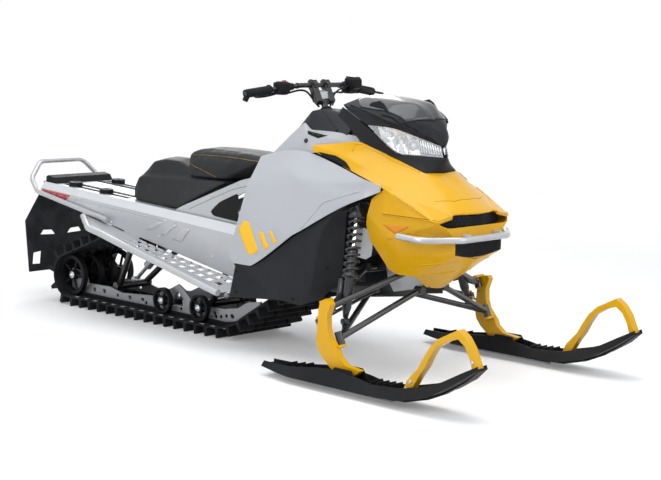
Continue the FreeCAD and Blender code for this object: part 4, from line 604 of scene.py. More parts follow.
def bead(name, target, runs, slot, material=None, way=AIM, width=0.004, height=0.0015):
    """Low ribs along runs of points on a panel, on both sides."""
    tree = tree_of(target)
    for side, sign in SIDES:
        mesh = bmesh.new()
        for run in metres(runs):
            places = []
            for a, b in zip(run, run[1:]):
                a, b = flipped(a, sign), flipped(b, sign)
                count = max(1, round((b - a).length / BEAD_STEP))
                places += [a.lerp(b, k / count) for k in range(count)]
            places.append(flipped(run[-1], sign))
            spots = [lie(tree, place, flipped(way, sign), 0.0) for place in places]
            rings = []
            for k, (spot, normal) in enumerate(spots):
                ahead = (spots[min(k + 1, len(spots) - 1)][0] - spots[max(k - 1, 0)][0]).normalized()
                beside = ahead.cross(normal).normalized() * width / 2
                foot, head = normal * -BEAD_SINK, normal * height
                rings.append([mesh.verts.new(spot + move) for move in (-beside + foot,
                    -beside * BEAD_CROWN + head, beside * BEAD_CROWN + head, beside + foot)])
            bridge(mesh, rings)
        piece(f"{name}_{side}", mesh, slot, material=material)


def inside(outline, place):
    odd = False
    for a, b in zip(outline, outline[1:] + outline[:1]):
        if (a[1] > place[1]) != (b[1] > place[1]):
            if place[0] < a[0] + (b[0] - a[0]) * (place[1] - a[1]) / (b[1] - a[1]):
                odd = not odd
    return odd


def screen(name, target, outline, cell, wire):
    """A honeycomb in front of an opening, whose outline is given across and up."""
    tree = tree_of(target)
    outline = metres(outline)
    mesh = bmesh.new()
    low = [min(p[k] for p in outline) for k in (0, 1)]
    high = [max(p[k] for p in outline) for k in (0, 1)]
    pitch = cell * math.sqrt(3)
    for r in range(int((high[1] - low[1]) / (cell * 1.5)) + 2):
        for k in range(int((high[0] - low[0]) / pitch) + 2):
            y = low[0] + (k + 0.5 * (r % 2)) * pitch
            z = low[1] + r * cell * 1.5
            if inside(outline, (y, z)):
                angles = [math.radians(60 * corner + 30) for corner in range(6)]
                mesh.faces.new([mesh.verts.new((SCREEN_START, y + cell * math.cos(a),
                    z + cell * math.sin(a))) for a in angles])
    bmesh.ops.remove_doubles(mesh, verts=mesh.verts[:], dist=cell * 0.1)
    for vertex in mesh.verts:
        vertex.co = lie(tree, vertex.co.copy(), Vector(FRONT), SCREEN_LIFT)[0]
    thing = piece(name, mesh, "charcoal_plastic", material="vent_black")
    modify(thing, "WIREFRAME", thickness=wire, use_even_offset=False)


def shelf(name, targets, high, low, lifts, slot):
    """A raised facet between two runs on the right side, which stands further out at its foot."""
    trees = [tree_of(target) for target in targets]
    way = Vector(AIM)

    def spread(run):
        run = [Vector(p) for p in metres(run)]
        places = []
        for a, b in zip(run, run[1:]):
            places += [a.lerp(b, k / SHELF_PARTS) for k in range(SHELF_PARTS)]
        return places + run[-1:]

    def depth(place):
        found = [tree.ray_cast(place - way * CAST, way, 2 * CAST)[3] for tree in trees]
        return min([f for f in found if f is not None] or [CAST]) - CAST

    tops = [p + way * (depth(p) - lifts[0]) for p in spread(high)]
    feet = [p + way * (depth(p) - lifts[1]) for p in spread(low)]
    sheet = []
    for r in range(SHELF_ROWS):
        line = []
        for top, foot in zip(tops, feet):
            place = top.lerp(foot, r / (SHELF_ROWS - 1))
            line.append(place + way * min(0.0, depth(place) - lifts[0]))
        sheet.append(line)
    columns = len(tops)
    count = SHELF_ROWS * columns
    folds = [(0.8, tuple(range(start, count, columns))) for start in (SHELF_PARTS, 2 * SHELF_PARTS)]
    return panel(name, *grid(sheet), slot, merge=0.0, wall=lifts[1], levels=1, even=False, folds=folds)


# Hood, nose and side details

nose_wedge = shelf("nose_wedge", (hood_shell, nose_shell), [(916, -258, 749), (955, -252, 740),
    (1051, -195, 705), (1153, -136, 666)], [(893, -256, 655), (1031, -242, 652), (1146, -205, 645),
    (1153, -137, 661)], (0.0010, 0.0110), "yellow_plastic")
# A thin near-black line of painted shade along the wedge's lower seam
bead("wedge_seam_shade", nose_wedge, [[(895, -256, 660), (1031, -242, 657), (1144, -203, 650),
    (1152, -137, 664)]], "yellow_plastic", "seam_shadow", width=0.003, height=0.0004)

film("hood_vent", hood_shell, [[(519, -233, 878), (622, -235, 868), (678, -240, 848), (718, -243, 818),
    (640, -244, 838), (560, -238, 860)]], "charcoal_plastic", "vent_black", way=ACROSS, lift=0.0018,
    deep=0.002, cell=0.008)
bead("hood_vent_slat", hood_shell, [[(545, -230, 868), (640, -230, 852), (700, -240, 826)]],
    "charcoal_plastic", way=ACROSS, width=0.004, height=0.003)
bead("hood_ridge", hood_shell, [[(694, -215, 892), (690, -198, 917), (717, -188, 920), (837, -150, 866),
    (958, -107, 819)]], "yellow_plastic", width=0.009, height=0.0022)
# A thin near-black line of painted shade along the seam between hood and nose
bead("hood_seam_shade", hood_shell, [[(1072, -152, 717), (1110, -75, 722), (1118, 0, 722)]], "yellow_plastic",
    "seam_shadow", way=DOWN, width=0.0022, height=0.0003)
bead("hood_lip", hood_shell, [[(958, -258, 739), (1060, -243, 690), (1140, -226, 646), (1148, -150, 666),
    (1176, -60, 672), (1189, 0, 672)]], "yellow_plastic", width=0.010, height=0.0028)
film("nose_accent", nose_shell, [[(903, -254, 619), (1024, -242, 620), (1013, -243, 612), (962, -249, 586),
    (915, -254, 611)]], "yellow_plastic", "accent_orange")
bead("nose_ridge", nose_shell, [[(925, -249, 564), (1023, -241, 597), (1128, -200, 593)],
    [(1000, -180, 461), (1060, -140, 470), (1150, -90, 484)], [(1011, -142, 418), (1060, -100, 428),
    (1107, -51, 439)]], "yellow_plastic", width=0.010, height=0.0024)
# A small near-black patch of painted shade for the drain hole at the nose's foot
film("nose_drain_shade", nose_shell, [[(974.5, -57, 362), (974.5, -51, 362), (974.5, -51, 357),
    (974.5, -57, 357)]], "charcoal_plastic", "seam_shadow", cell=0.004)
screen("upper_screen", NODES["grille"], [(-178, 627), (-112, 662), (112, 662), (178, 627), (120, 617),
    (55, 606), (-55, 606), (-120, 617)], 0.0085, 0.0022)
screen("lower_screen", NODES["grille"], [(-137, 572), (137, 572), (137, 519), (0, 494), (-137, 519)],
    0.0075, 0.0020)
film("knee_vent", knee_panel, [[(389, -165, 955), (516, -175, 941), (472, -187, 929), (406, -178, 942)]],
    "charcoal_plastic", "vent_black")
# A thin near-black line of painted shade along the console's seam
bead("console_seam_shade", console_shell, [[(396, -86, 1038), (470, -112, 995), (545, -135, 951)]],
    "dark_plastic", "seam_shadow", width=0.003, height=0.0003)
STRIPES = [[(150, 529), (182, 574), (221, 568), (290, 461), (268, 440), (228, 436)],
    [(285, 535), (314, 540), (357, 476), (328, 466)], [(352, 545), (370, 548), (402, 500), (384, 494)]]
film("side_stripes", side_panel, [[(x, -340, z) for x, z in bar] for bar in STRIPES], "grey_plastic",
    "stripe_yellow", way=ACROSS)
bead("side_crease", side_panel, [[(530, -330, 575), (640, -330, 690), (810, -300, 745)]], "grey_plastic",
    way=ACROSS, width=0.012, height=0.0022)

# Windshield details

SHIELD = [(644, 0, 1110), (644, -130, 1092), (697, -176, 1070), (805, -152, 1056), (890, -120, 1026),
    (912, -85, 1021), (929, -35, 1023), (933, 0, 1021)]
film("smoked_shield", wind_deflector, [SHIELD], "charcoal_plastic", "shield_plastic", way=DOWN, lift=0.0022,
    deep=0.0036, cell=0.02, whole=True)
bead("shield_ridge", wind_deflector, [[(659, -191, 1072), (762, -187, 1044), (860, -176, 1012)]],
    "charcoal_plastic", width=0.012, height=0.005)
bead("shield_wedge", wind_deflector, [[(816, -172, 1040), (845, -150, 1030), (886, -138, 1004)]],
    "charcoal_plastic", width=0.014, height=0.006)
# Near-black patches of painted shade in the three vent slots of the deflector
film("shield_vent_shade", wind_deflector, [[(846, -153, 1033), (858, -150, 1031), (880, -146, 1013),
    (868, -150, 1014)], [(886, -135, 1010), (896, -128, 1008), (910, -113, 991), (900, -116, 992)],
    [(908, -107, 991), (917, -99, 988), (929, -86, 976), (921, -91, 977)]], "charcoal_plastic",
    "seam_shadow", cell=0.008)
plates("shield_fins", [(712, 1066), (734, 1084), (778, 1094), (800, 1082), (824, 1054), (850, 1020),
    (835, 1010), (780, 1030), (720, 1048)], 0.146, 0.154, "charcoal_plastic", 0.003, 3)

# Headlight: a tub, reflector bowls, flutes and light modules behind the lens

LENS = [Vector(p) for p in metres(((757, -196, 996), (862, -163, 990), (921, -77, 953), (988, -18, 919),
    (1001, -18, 875.1), (932, -72, 880.5), (862, -138, 884), (816, -162, 930)))]
LAMP_DEPTH = 0.046
TUB_RINGS = ((0.985, 0.004), (0.985, 0.02), (0.90, LAMP_DEPTH))
BOWL_DEPTH = 0.030
BOWL_PARTS = 5
BOWL_ROUND = 0.75
BOWL_RINGS = ((0.95, 0.006, 0.0), (0.90, 0.010, 0.15), (0.78, 0.4 * BOWL_DEPTH, 0.5),
    (0.56, 0.8 * BOWL_DEPTH, 0.9), (0.30, BOWL_DEPTH, 1.0))
MODULE = [(0.010, 0.0), (0.010, 0.006), (0.0085, 0.011), (0.0045, 0.0145), (0, 0.0155)]
MODULE_RISE = 0.001
FLUTES = 9
FLUTE_BACK = 0.016
FLUTE_ENDS = (0.06, 0.92)
FLUTE_TIP = 0.0012
FLUTE_RADIUS = 0.0036
FLUTE_TAPER = 0.003


def middle_of(corners):
    return sum(corners, Vector()) / len(corners)


def facing(a, b, c):
    """The normal of three points, turned forward."""
    normal = (b - a).cross(c - a).normalized()
    return normal if normal.x > 0 else -normal


def bowl(mesh, corners):
    """Adds a reflector that runs from a four-sided outline to a round foot; gives its middle and normal."""
    normal = facing(*corners[:3])
    middle = middle_of(corners)
    reach = sum((c - middle).length for c in corners) / len(corners)
    rings = []
    for size, depth, soft in BOWL_RINGS:
        ring = []
        for a, b in zip(corners, corners[1:] + corners[:1]):
            for k in range(BOWL_PARTS):
                arm = a.lerp(b, k / BOWL_PARTS) - middle
                arm = arm.lerp(arm.normalized() * reach * BOWL_ROUND, soft)
                ring.append(mesh.verts.new(middle + arm * size - normal * depth))
        rings.append(ring)
    bridge(mesh, rings, ends=False)
    mesh.faces.new(rings[-1])
    return middle, normal


def headlamp(side, sign):
    middle = middle_of(LENS)
    ahead = facing(LENS[1], LENS[6], LENS[5])
    tub, bowls, modules, flutes = (bmesh.new() for _ in range(4))
    rings = []
    for size, depth in TUB_RINGS:
        rings.append([tub.verts.new(middle + (p - middle) * size - ahead * depth) for p in LENS])
    bridge(tub, rings, ends=False)
    tub.faces.new(rings[-1])
    low = [LENS[6].lerp(LENS[5], k / 2) for k in range(3)]
    high = [LENS[1].lerp(LENS[2], k / 2) for k in range(3)]
    cells = [[low[k], low[k + 1], high[k + 1], high[k]] for k in range(2)]
    cells.append([LENS[7].lerp(LENS[0], 0.25), LENS[6], LENS[1], LENS[0].lerp(LENS[1], 0.35)])
    for corners in cells:
        spot, normal = bowl(bowls, corners)
        lathe(modules, MODULE, spot - normal * (BOWL_DEPTH - MODULE_RISE), normal, 16)
    back = ahead * FLUTE_BACK
    for k in range(FLUTES):
        share = (k + 0.5) / FLUTES
        foot = LENS[5].lerp(LENS[4], share) - back
        head = LENS[2].lerp(LENS[3], share) - back
        foot, head = [foot.lerp(head, end) for end in FLUTE_ENDS]
        span = (head - foot).length
        lathe(flutes, [(FLUTE_TIP, 0.0), (FLUTE_RADIUS, FLUTE_TAPER), (FLUTE_RADIUS, span - FLUTE_TAPER),
            (FLUTE_TIP, span)], foot, head - foot, 8)
    for name, mesh, slot, finish, wall in (("tub", tub, "charcoal_plastic", "lamp_tub", 0.0012),
                                           ("bowls", bowls, "charcoal_plastic", "lamp_chrome", 0.001),
                                           ("modules", modules, "lens_clear", "lamp_glass", None),
                                           ("flutes", flutes, "charcoal_plastic", "lamp_chrome", None)):
        for vertex in mesh.verts:
            vertex.co.y *= sign
        thing = piece(f"lamp_{name}_{side}", mesh, slot, material=finish)
        if wall:
            modify(thing, "SOLIDIFY", thickness=wall, offset=-1.0)


for side, sign in SIDES:
    headlamp(side, sign)

# Seat

CLOTH_FRAMES = 16
PRESSURE = 4.0
VOXEL = 0.006
FOOT_BLEND = 0.03
BASE_ROWS = [
    (-822, [(0, 571), (118, 571), (116, 620), (102, 630), (70, 636), (0, 640)]),
    (-772, [(0, 567), (146, 567), (130, 676), (106, 687), (82, 702), (0, 708)]),
    (-712, [(0, 563), (150, 563), (120, 682), (106, 690), (88, 752), (0, 766)]),
    (-640, [(0, 559), (150, 559), (118, 685), (100, 692), (80, 766), (0, 777)]),
    (-550, [(0, 553), (150, 553), (118, 688), (98, 694), (78, 764), (0, 774)]),
    (-470, [(0, 552), (150, 552), (120, 690), (100, 695), (76, 740), (0, 748)]),
    (-300, [(0, 630), (148, 630), (126, 694), (110, 698), (80, 699), (0, 700)]),
    (-172, [(0, 684), (142, 686), (130, 697), (110, 699), (80, 700), (0, 700)]),
]
CUSHION_ROWS = [
    (-440, [(0, 702), (90, 702), (104, 712), (107, 750), (98, 786), (80, 796), (0, 799)]),
    (-418, [(0, 701), (100, 701), (117, 710), (119, 756), (112, 806), (93, 819), (0, 823)]),
    (-330, [(0, 701), (104, 701), (121, 710), (122, 762), (114, 815), (95, 830), (0, 836)]),
    (-180, [(0, 702), (104, 702), (121, 711), (122, 764), (114, 815), (95, 829), (0, 835)]),
    (-80, [(0, 742), (103, 742), (119, 750), (120, 780), (112, 812), (93, 825), (0, 831)]),
    (0, [(0, 774), (101, 774), (115, 780), (116, 794), (109, 808), (90, 818), (0, 824)]),
    (44, [(0, 790), (96, 790), (107, 794), (108, 800), (102, 806), (86, 811), (0, 815)]),
]


def pad(name, node, rows, marks, cap):
    """A foam form from half rings, each a place along X and its points from the foot round to the top."""
    mesh = bmesh.new()
    rings = []
    for x, half in metres(rows):
        right = [(x, -y, z) for y, z in half]
        left = [(x, y, z) for y, z in reversed(half[1:-1])]
        rings.append([mesh.verts.new(p) for p in right + left])
    bridge(mesh, rings)
    layer = mesh.edges.layers.float.new("crease_edge")
    mesh.verts.ensure_lookup_table()
    size = len(rings[0])
    for line in mesh.edges:
        a, b = (v.index for v in line.verts)
        if a % size == b % size:
            line[layer] = marks.get(min(a % size, size - a % size), 0.0)
    thing = piece(name, mesh, "seat_vinyl", node=node)
    modify(thing, "SUBSURF", levels=3, render_levels=3)
    puff(thing, cap)
    return thing


def baked(thing):
    """The mesh that an object's modifiers give, with the modifiers taken off."""
    mesh = bpy.data.meshes.new_from_object(thing.evaluated_get(bpy.context.evaluated_depsgraph_get()))
    thing.modifiers.clear()
    return mesh


def puff(thing, cap):
    """Swells a foam form by cloth simulation, no further than the cap, and keeps its foot flat."""
    bpy.context.view_layer.update()
    modify(thing, "REMESH", mode="VOXEL", voxel_size=VOXEL)
    thing.data = baked(thing)
    start = [v.co.copy() for v in thing.data.vertices]
    cloth = thing.modifiers.new("cloth", "CLOTH")
    cloth.settings.use_pressure = True
    cloth.settings.uniform_pressure_force = PRESSURE
    cloth.settings.effector_weights.gravity = 0.0
    cloth.settings.quality = 4
    cloth.point_cache.frame_end = CLOTH_FRAMES
    for moment in range(1, CLOTH_FRAMES + 1):
        bpy.context.scene.frame_set(moment)
    puffed = baked(thing)
    bpy.context.scene.frame_set(1)
    low = min(v.z for v in start)
    for vertex, place in zip(puffed.vertices, start):
        move = vertex.co - place
        if move.length > cap:
            move *= cap / move.length
        vertex.co = place + move * min(1.0, (place.z - low) / FOOT_BLEND)
    thing.data = puffed
    puffed.shade_smooth()
    modify(thing, "SMOOTH", factor=0.5, iterations=3)


pad("seat_foam", "seat_base", BASE_ROWS, {1: 0.85, 2: 0.75, 3: 0.5, 4: 0.55}, 0.004)
cushion = pad("seat_pad", "seat_cushion", CUSHION_ROWS, {1: 0.4, 2: 0.3, 4: 0.7}, 0.005)

# Seams, laid on the finished pad

STITCH = 0.0075
THREAD = 0.62
THREAD_LIFT = 0.0002
THREAD_HALF = 0.0009
THREAD_CROWN = 0.0008


def stitches(name, thing, ends, sign):
    """A row of short threads between points on the side of a pad."""
    tree = tree_of(thing)
    mesh = bmesh.new()
    ends = [Vector(p) for p in metres(ends)]
    for a, b in zip(ends, ends[1:]):
        count = int((b - a).length / STITCH)
        for k in range(count):
            spots = []
            for share in (k / count, (k + THREAD) / count):
                place, normal, _, _ = tree.find_nearest(flipped(a.lerp(b, share), sign))
                spots.append((place + normal * THREAD_LIFT, normal))
            (start, normal), (end, _) = spots
            along = (end - start).normalized()
            side = along.cross(normal).normalized() * THREAD_HALF
            crown = normal * THREAD_CROWN
            rings = [[mesh.verts.new(p + s) for s in (side, crown, -side)] for p in (start, end)]
            bridge(mesh, rings, ends=False)
    piece(name, mesh, "seat_vinyl", material="stitch_thread")


for side, sign in SIDES:
    stitches(f"seam_top_{side}", cushion, [(-432, -112, 802), (-330, -118, 812), (-180, -118, 812),
        (-80, -116, 809), (30, -110, 803)], sign)
    stitches(f"seam_diagonal_{side}", cushion, [(-432, -120, 770), (-232, -125, 712)], sign)

# Bars, riser, boot and harness

BARS = "handlebar_unit"
CLAMP = Vector((0.289, 0.0, 1.139))
COLUMN = Vector((0.3827, 0.0, -0.9239))
BAR_POINTS = metres([(244, -385, 1105), (266, -240, 1124), (289, -110, 1139)])


def sleeve(name, start, end, profile, slot, body=BARS, material=None, steps=20):
    """A turned piece from start towards end, whose profile gives radii and shares of the way."""
    mesh = bmesh.new()
    span = (end - start).length
    lathe(mesh, [(radius, share * span) for radius, share in profile], start, end - start, steps)
    piece(name, mesh, slot, body, material=material)


def ripples(count, low, high, start=0.0, end=1.0, slope=0.0):
    """Profile points of soft rings, with their radii growing by the slope."""
    profile = []
    for k in range(count):
        for part, radius in ((0.0, low), (0.35, high), (0.65, high), (1.0, low)):
            share = start + (end - start) * (k + part * 0.96) / count
            profile.append((radius + slope * share, share))
    return profile


BAR_SLEEVE = [(0.0112, 0), (0.0150, 0.05), (0.0150, 0.95), (0.0112, 1)]
HARNESS_CLIP = [(0.0112, 0), (0.0128, 0.1), (0.0128, 0.9), (0.0112, 1)]
GRIP = [(0.0171, 0.0)] + ripples(14, 0.0173, 0.0184, 0.02, 0.90) + [(0.0215, 0.92), (0.0220, 0.97),
    (0.0171, 1.0)]
CLAMP_OUT = 0.038
CLAMP_HALF = 0.0115
CAP = [(-0.026, -0.006), (-0.020, 0.017), (-0.006, 0.026), (0.012, 0.024), (0.027, 0.008), (0.024, -0.010)]
CAP_BOLTS = (-0.012, 0.016)
CAP_RISE = 0.0225
POST_HALF = 0.0155
POST_SPAN = 0.074
POST_HEAD = [(-0.010, -0.006), (0.016, 0.002)]
POST_FOOT = [(0.022, 0.004), (0.012, -0.012), (-0.012, -0.004)]
sleeve("column_boot", CLAMP + COLUMN * 0.101, CLAMP + COLUMN * 0.130, ripples(3, 0.018, 0.023, slope=0.014),
    "dark_plastic", "chassis", "boot_rubber", 28)
for side, sign in SIDES:
    tip, bend, root = (flipped(p, sign) for p in BAR_POINTS)
    sleeve(f"grip_rings_{side}", tip.lerp(bend, 0.03), tip.lerp(bend, 0.86), GRIP, "grip_rubber", steps=22)
    sleeve(f"bar_sleeve_{side}", bend.lerp(root, 0.50), bend.lerp(root, 0.70), BAR_SLEEVE, "dark_plastic")
    at = CLAMP + Vector((0.0, -CLAMP_OUT * sign, 0.0))
    caps, bolts, post = (bmesh.new() for _ in range(3))
    slab(caps, [(at.x + x, at.z + z) for x, z in CAP], at.y - CLAMP_HALF, at.y + CLAMP_HALF)
    piece(f"bar_clamp_{side}", caps, "black_paint", BARS, bevel=0.0025)
    for x in CAP_BOLTS:
        button(bolts, at + Vector((x, 0.0, CAP_RISE)), (0.1, 0, 1), 0.0052, 0.0045)
    piece(f"clamp_bolts_{side}", bolts, "steel", BARS)
    foot = at + COLUMN * POST_SPAN
    outline = [(at.x + x, at.z + z) for x, z in POST_HEAD]
    outline += [(foot.x + x, foot.z + z) for x, z in POST_FOOT]
    slab(post, outline, at.y - POST_HALF, at.y + POST_HALF)
    piece(f"riser_post_{side}", post, "black_paint", BARS, bevel=0.003)


def block(name, outline, low, high, slot, bevel):
    """A plain prism on the bars, whose outline is in millimetres."""
    mesh = bmesh.new()
    slab(mesh, metres(outline), low, high)
    piece(name, mesh, slot, BARS, bevel=bevel)


HOUSING_RINGS = ((0.0, 0.72), (0.14, 0.96), (0.5, 1.0), (0.86, 0.98), (1.0, 0.76))


def housing(name, corners, low, high, bevel=0.004):
    """A moulded switch or lever housing round the bar, tapered to its ends."""
    mesh = bmesh.new()
    corners = metres(corners)
    middle = middle_of([Vector((x, 0, z)) for x, z in corners])
    rings = []
    for share, size in HOUSING_RINGS:
        y = low + (high - low) * share
        arms = [((x - middle.x) * size, (z - middle.z) * size) for x, z in corners]
        rings.append([mesh.verts.new((middle.x + x, y, middle.z + z)) for x, z in arms])
    bridge(mesh, rings)
    piece(name, mesh, "dark_plastic", BARS, bevel=bevel, segments=3)


block("riser_plate", [(298, 1118), (318, 1112), (327, 1082), (306, 1088)], -0.024, 0.024, "silver_paint",
    0.002)
SWITCH = [(249, 1107), (251, 1149), (262, 1157), (290, 1156), (302, 1146), (300, 1108), (288, 1099),
    (260, 1099)]
KEY_BACK, KEY_FACE = 0.247, 0.2515
KEY_FOOT, KEY_TOP = 1.116, 1.132
KEY_START = 0.186
KEY_PITCH = 0.016
KEY_STEP = 0.002
KEY_HALF = 0.0055
for side, sign in SIDES:
    housing(f"switch_block_{side}", SWITCH, *sorted((-0.176 * sign, -0.236 * sign)))
    keys = bmesh.new()
    for k in range(3):
        y = (-KEY_START - KEY_PITCH * k) * sign
        foot = KEY_FOOT + KEY_STEP * k
        slab(keys, [(KEY_BACK, foot), (KEY_FACE, foot), (KEY_FACE, KEY_TOP), (KEY_BACK, KEY_TOP)],
            y - KEY_HALF, y + KEY_HALF)
    piece(f"switch_keys_{side}", keys, "dark_plastic", BARS, material="boot_rubber", bevel=0.0012)
RESERVOIR = [(268, 1140), (266, 1166), (276, 1172), (320, 1170), (330, 1162), (331, 1126), (318, 1118),
    (280, 1122)]
housing("brake_reservoir", RESERVOIR, 0.172, 0.232, 0.003)
block("reservoir_lid", [(272, 1171), (274, 1175.5), (318, 1173.5), (322, 1169)], 0.182, 0.222,
    "black_paint", 0.0015)

BLADE = ((-1, -0.6), (-0.6, -1), (0.6, -1), (1, -0.6), (1, 0.6), (0.6, 1), (-0.6, 1), (-1, 0.6))
BLADE_TIP = 0.7


def lever(name, points, width, height):
    """A flat lever blade along points, with a blunt end."""
    mesh = bmesh.new()
    points = [Vector(p) for p in metres(points)]
    rings = []
    for k, place in enumerate(points):
        along = (points[min(k + 1, len(points) - 1)] - points[max(k - 1, 0)]).normalized()
        side = along.cross(UP).normalized() * width / 2
        top = side.cross(along).normalized() * height / 2
        taper = BLADE_TIP if k in (0, len(points) - 1) else 1.0
        rings.append([mesh.verts.new(place + (side * a + top * b) * taper) for a, b in BLADE])
    bridge(mesh, rings)
    modify(piece(name, mesh, "dark_plastic", BARS), "SUBSURF", levels=1, render_levels=1)


def hose(name, points, radius):
    """A round line on the bars along control points."""
    data = bpy.data.curves.new(name, "CURVE")
    data.dimensions = "3D"
    data.bevel_depth = radius
    data.bevel_resolution = 4
    data.resolution_u = 8
    data.use_fill_caps = True
    line = data.splines.new("NURBS")
    line.points.add(len(points) - 1)
    for spot, place in zip(line.points, metres(points)):
        spot.co = (*place, 1.0)
    line.order_u = 3
    line.use_endpoint_u = True
    thing = linked(name, data)
    dress(thing, "dark_plastic")
    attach(thing, BARS)


lever("brake_lever", [(300, 205, 1128), (322, 230, 1121), (328, 270, 1113), (326, 320, 1106),
    (316, 365, 1101), (303, 394, 1098)], 0.013, 0.008)
lever("thumb_lever", [(262, -206, 1108), (244, -226, 1100), (230, -252, 1093), (224, -292, 1089),
    (226, -318, 1090)], 0.016, 0.009)
hose("harness_right", [(270, -180, 1104), (275, -150, 1110), (281, -110, 1119), (290, -80, 1116),
    (296, -60, 1098), (306, -52, 1080), (318, -46, 1062), (327, -34, 1048)], 0.0042)
hose("harness_left", [(284, 182, 1112), (284, 150, 1104), (290, 110, 1108), (298, 80, 1104),
    (304, 60, 1088), (312, 50, 1070), (322, 40, 1052)], 0.0042)
hose("brake_hose", [(300, 176, 1136), (304, 140, 1126), (306, 100, 1118), (310, 72, 1100), (318, 58, 1076),
    (328, 46, 1054)], 0.0034)
for side, sign in SIDES:
    _, bend, root = (flipped(p, sign) for p in BAR_POINTS)
    step = (root - bend).normalized() * 0.003
    for k, share in enumerate((0.30, 0.86)):
        at = bend.lerp(root, share)
        sleeve(f"harness_clip_{side}_{k}", at - step, at + step, HARNESS_CLIP, "dark_plastic")

# Front dampers: rod above, body and reservoir below

SHOCK_TOP = Vector((0.762, -0.250, 0.683))
SHOCK_FOOT = Vector((0.826, -0.380, 0.240))
TANK_SIDE = Vector((-0.040, 0.0, -0.006))
SHOCK_BODY = [(0.010, 0.36), (0.0195, 0.365), (0.0195, 0.385), (0.0205, 0.39), (0.0205, 0.44),
    (0.019, 0.445), *ripples(7, 0.0187, 0.0197, 0.45, 0.58), (0.0325, 0.607), (0.0325, 0.625),
    (0.021, 0.63), (0.019, 0.64), (0.019, 0.88), (0.014, 0.92), (0.010, 0.97)]
SPRING_SEAT = [(0.030, 0.060), (0.0325, 0.085), (0.0325, 0.118), (0.012, 0.122)]
SEAT_TOP = (0.012, -0.006)
TANK_PLACE = 0.63
TANK_LINK = [(0.007, 0), (0.007, 0.040)]
LINK_DROP = 0.014
SHOCK_TANK = [(0.004, 0), (0.0135, 0.002), (0.016, 0.008), (0.016, 0.074), (0.0135, 0.080), (0.004, 0.082)]
SHOCK_EYE = [(0.0095, -0.014), (0.0135, -0.013), (0.0135, 0.013), (0.0095, 0.014)]
DAMPER_ROD = [(0.0082, 0), (0.0085, 0.02), (0.0085, 0.98), (0.0082, 1)]
shocks = bmesh.new()
for side, sign in SIDES:
    top, foot = flipped(SHOCK_TOP, sign), flipped(SHOCK_FOOT, sign)
    along = foot - top
    span = along.length
    lathe(shocks, [(r, s * span) for r, s in SHOCK_BODY], top, along, 24)
    lathe(shocks, [SEAT_TOP] + [(r, s * span) for r, s in SPRING_SEAT], top, along, 24)
    for at in (top, foot):
        lathe(shocks, SHOCK_EYE, at, ACROSS, 18)
    tank = top.lerp(foot, TANK_PLACE) + TANK_SIDE
    lathe(shocks, SHOCK_TANK, tank, along)
    lathe(shocks, TANK_LINK, tank + along.normalized() * LINK_DROP, -TANK_SIDE, 12)
    sleeve(f"damper_rod_{side}", top.lerp(foot, 0.02), top.lerp(foot, 0.37), DAMPER_ROD, "steel", "chassis",
        "lamp_chrome")
piece("dampers", shocks, "dark_steel", node="front_shocks")

# Fasteners, clips and trim

BUTTON_SINK = 0.0003
CLIP_COUNT = 16
CLIP_START = -1.205
CLIP_PITCH = 0.0726
CLIP_LINES = (-0.172, -0.076, 0.076, 0.172)
CLIP_FOOT, CLIP_TOP = 0.0480, 0.0505
CLIP_HALF = 0.008
CLIP_REACH = 0.014
STRIP_PARTS = 6
STRIP_START = -1.460
STRIP_LENGTH = 1.580
STRIP_EDGES = ((-0.1820, 0.5206, 0.0588), (-0.2060, 0.4808, 0.0650))


def fasteners(name, target, places, way, radius=0.007, height=0.004, slot="steel", body="chassis",
              sides=SIDES, material=None):
    """Buttons on a piece at places that are carried on to it, one object a side."""
    tree = tree_of(target)
    for side, sign in sides:
        mesh = bmesh.new()
        for place in metres(places):
            spot, normal = lie(tree, flipped(place, sign), flipped(way, sign), -BUTTON_SINK)
            button(mesh, spot, normal, radius, height)
        piece(f"{name}_{side}", mesh, slot, body, material=material)


fasteners("tunnel_bolts", NODES["tunnel"], [(x, -206, z) for x, z in ((-889, 455), (-527, 424), (-157, 369),
    (-413, 500), (-1400, 545), (-1180, 536), (-980, 522), (-720, 505))], ACROSS)
fasteners("frame_bolts", NODES["side_frames"], [(x, -160, z) for x, z in ((-430, 557), (-380, 579),
    (-215, 634), (-45, 700), (60, 720), (8, 540))], ACROSS, 0.0065)
fasteners("console_bolts", console_shell, [(530, -135, 962), (300, -145, 930)], AIM, 0.008, 0.003,
    "dark_plastic")
fasteners("lower_panel_bolts", lower_panel, [(130, -330, 262), (130, -330, 350), (470, -330, 275),
    (640, -300, 420)], ACROSS, 0.0075, 0.0035, "dark_plastic")
clips = bmesh.new()
for k in range(CLIP_COUNT):
    x = CLIP_START + CLIP_PITCH * k
    for y in CLIP_LINES:
        low, high = y - CLIP_HALF, y + CLIP_HALF
        slab(clips, [(low, CLIP_FOOT), (low, CLIP_TOP), (high, CLIP_TOP), (high, CLIP_FOOT)],
            x - CLIP_REACH, x + CLIP_REACH, 0)
piece("track_clips", clips, "steel")
fasteners("flap_bolts", NODES["snow_flap"], [(-1500, y, 545) for y in (-140, -50)], (1, 0, 0))
for side, sign in SIDES:
    single = ((side, sign),)
    fasteners("loop_bolts", NODES[f"ski_loop_{side}"], [(1262, -515, 68), (1568, -515, 214),
        (1285, -515, 98)], ACROSS, 0.0075, 0.005, body=f"ski_{side}", sides=single)
    fasteners("spindle_bolt", NODES[f"spindle_{side}"], [(945, -525, 56)], ACROSS, 0.014, 0.010,
        body=f"spindle_{side}", sides=single)

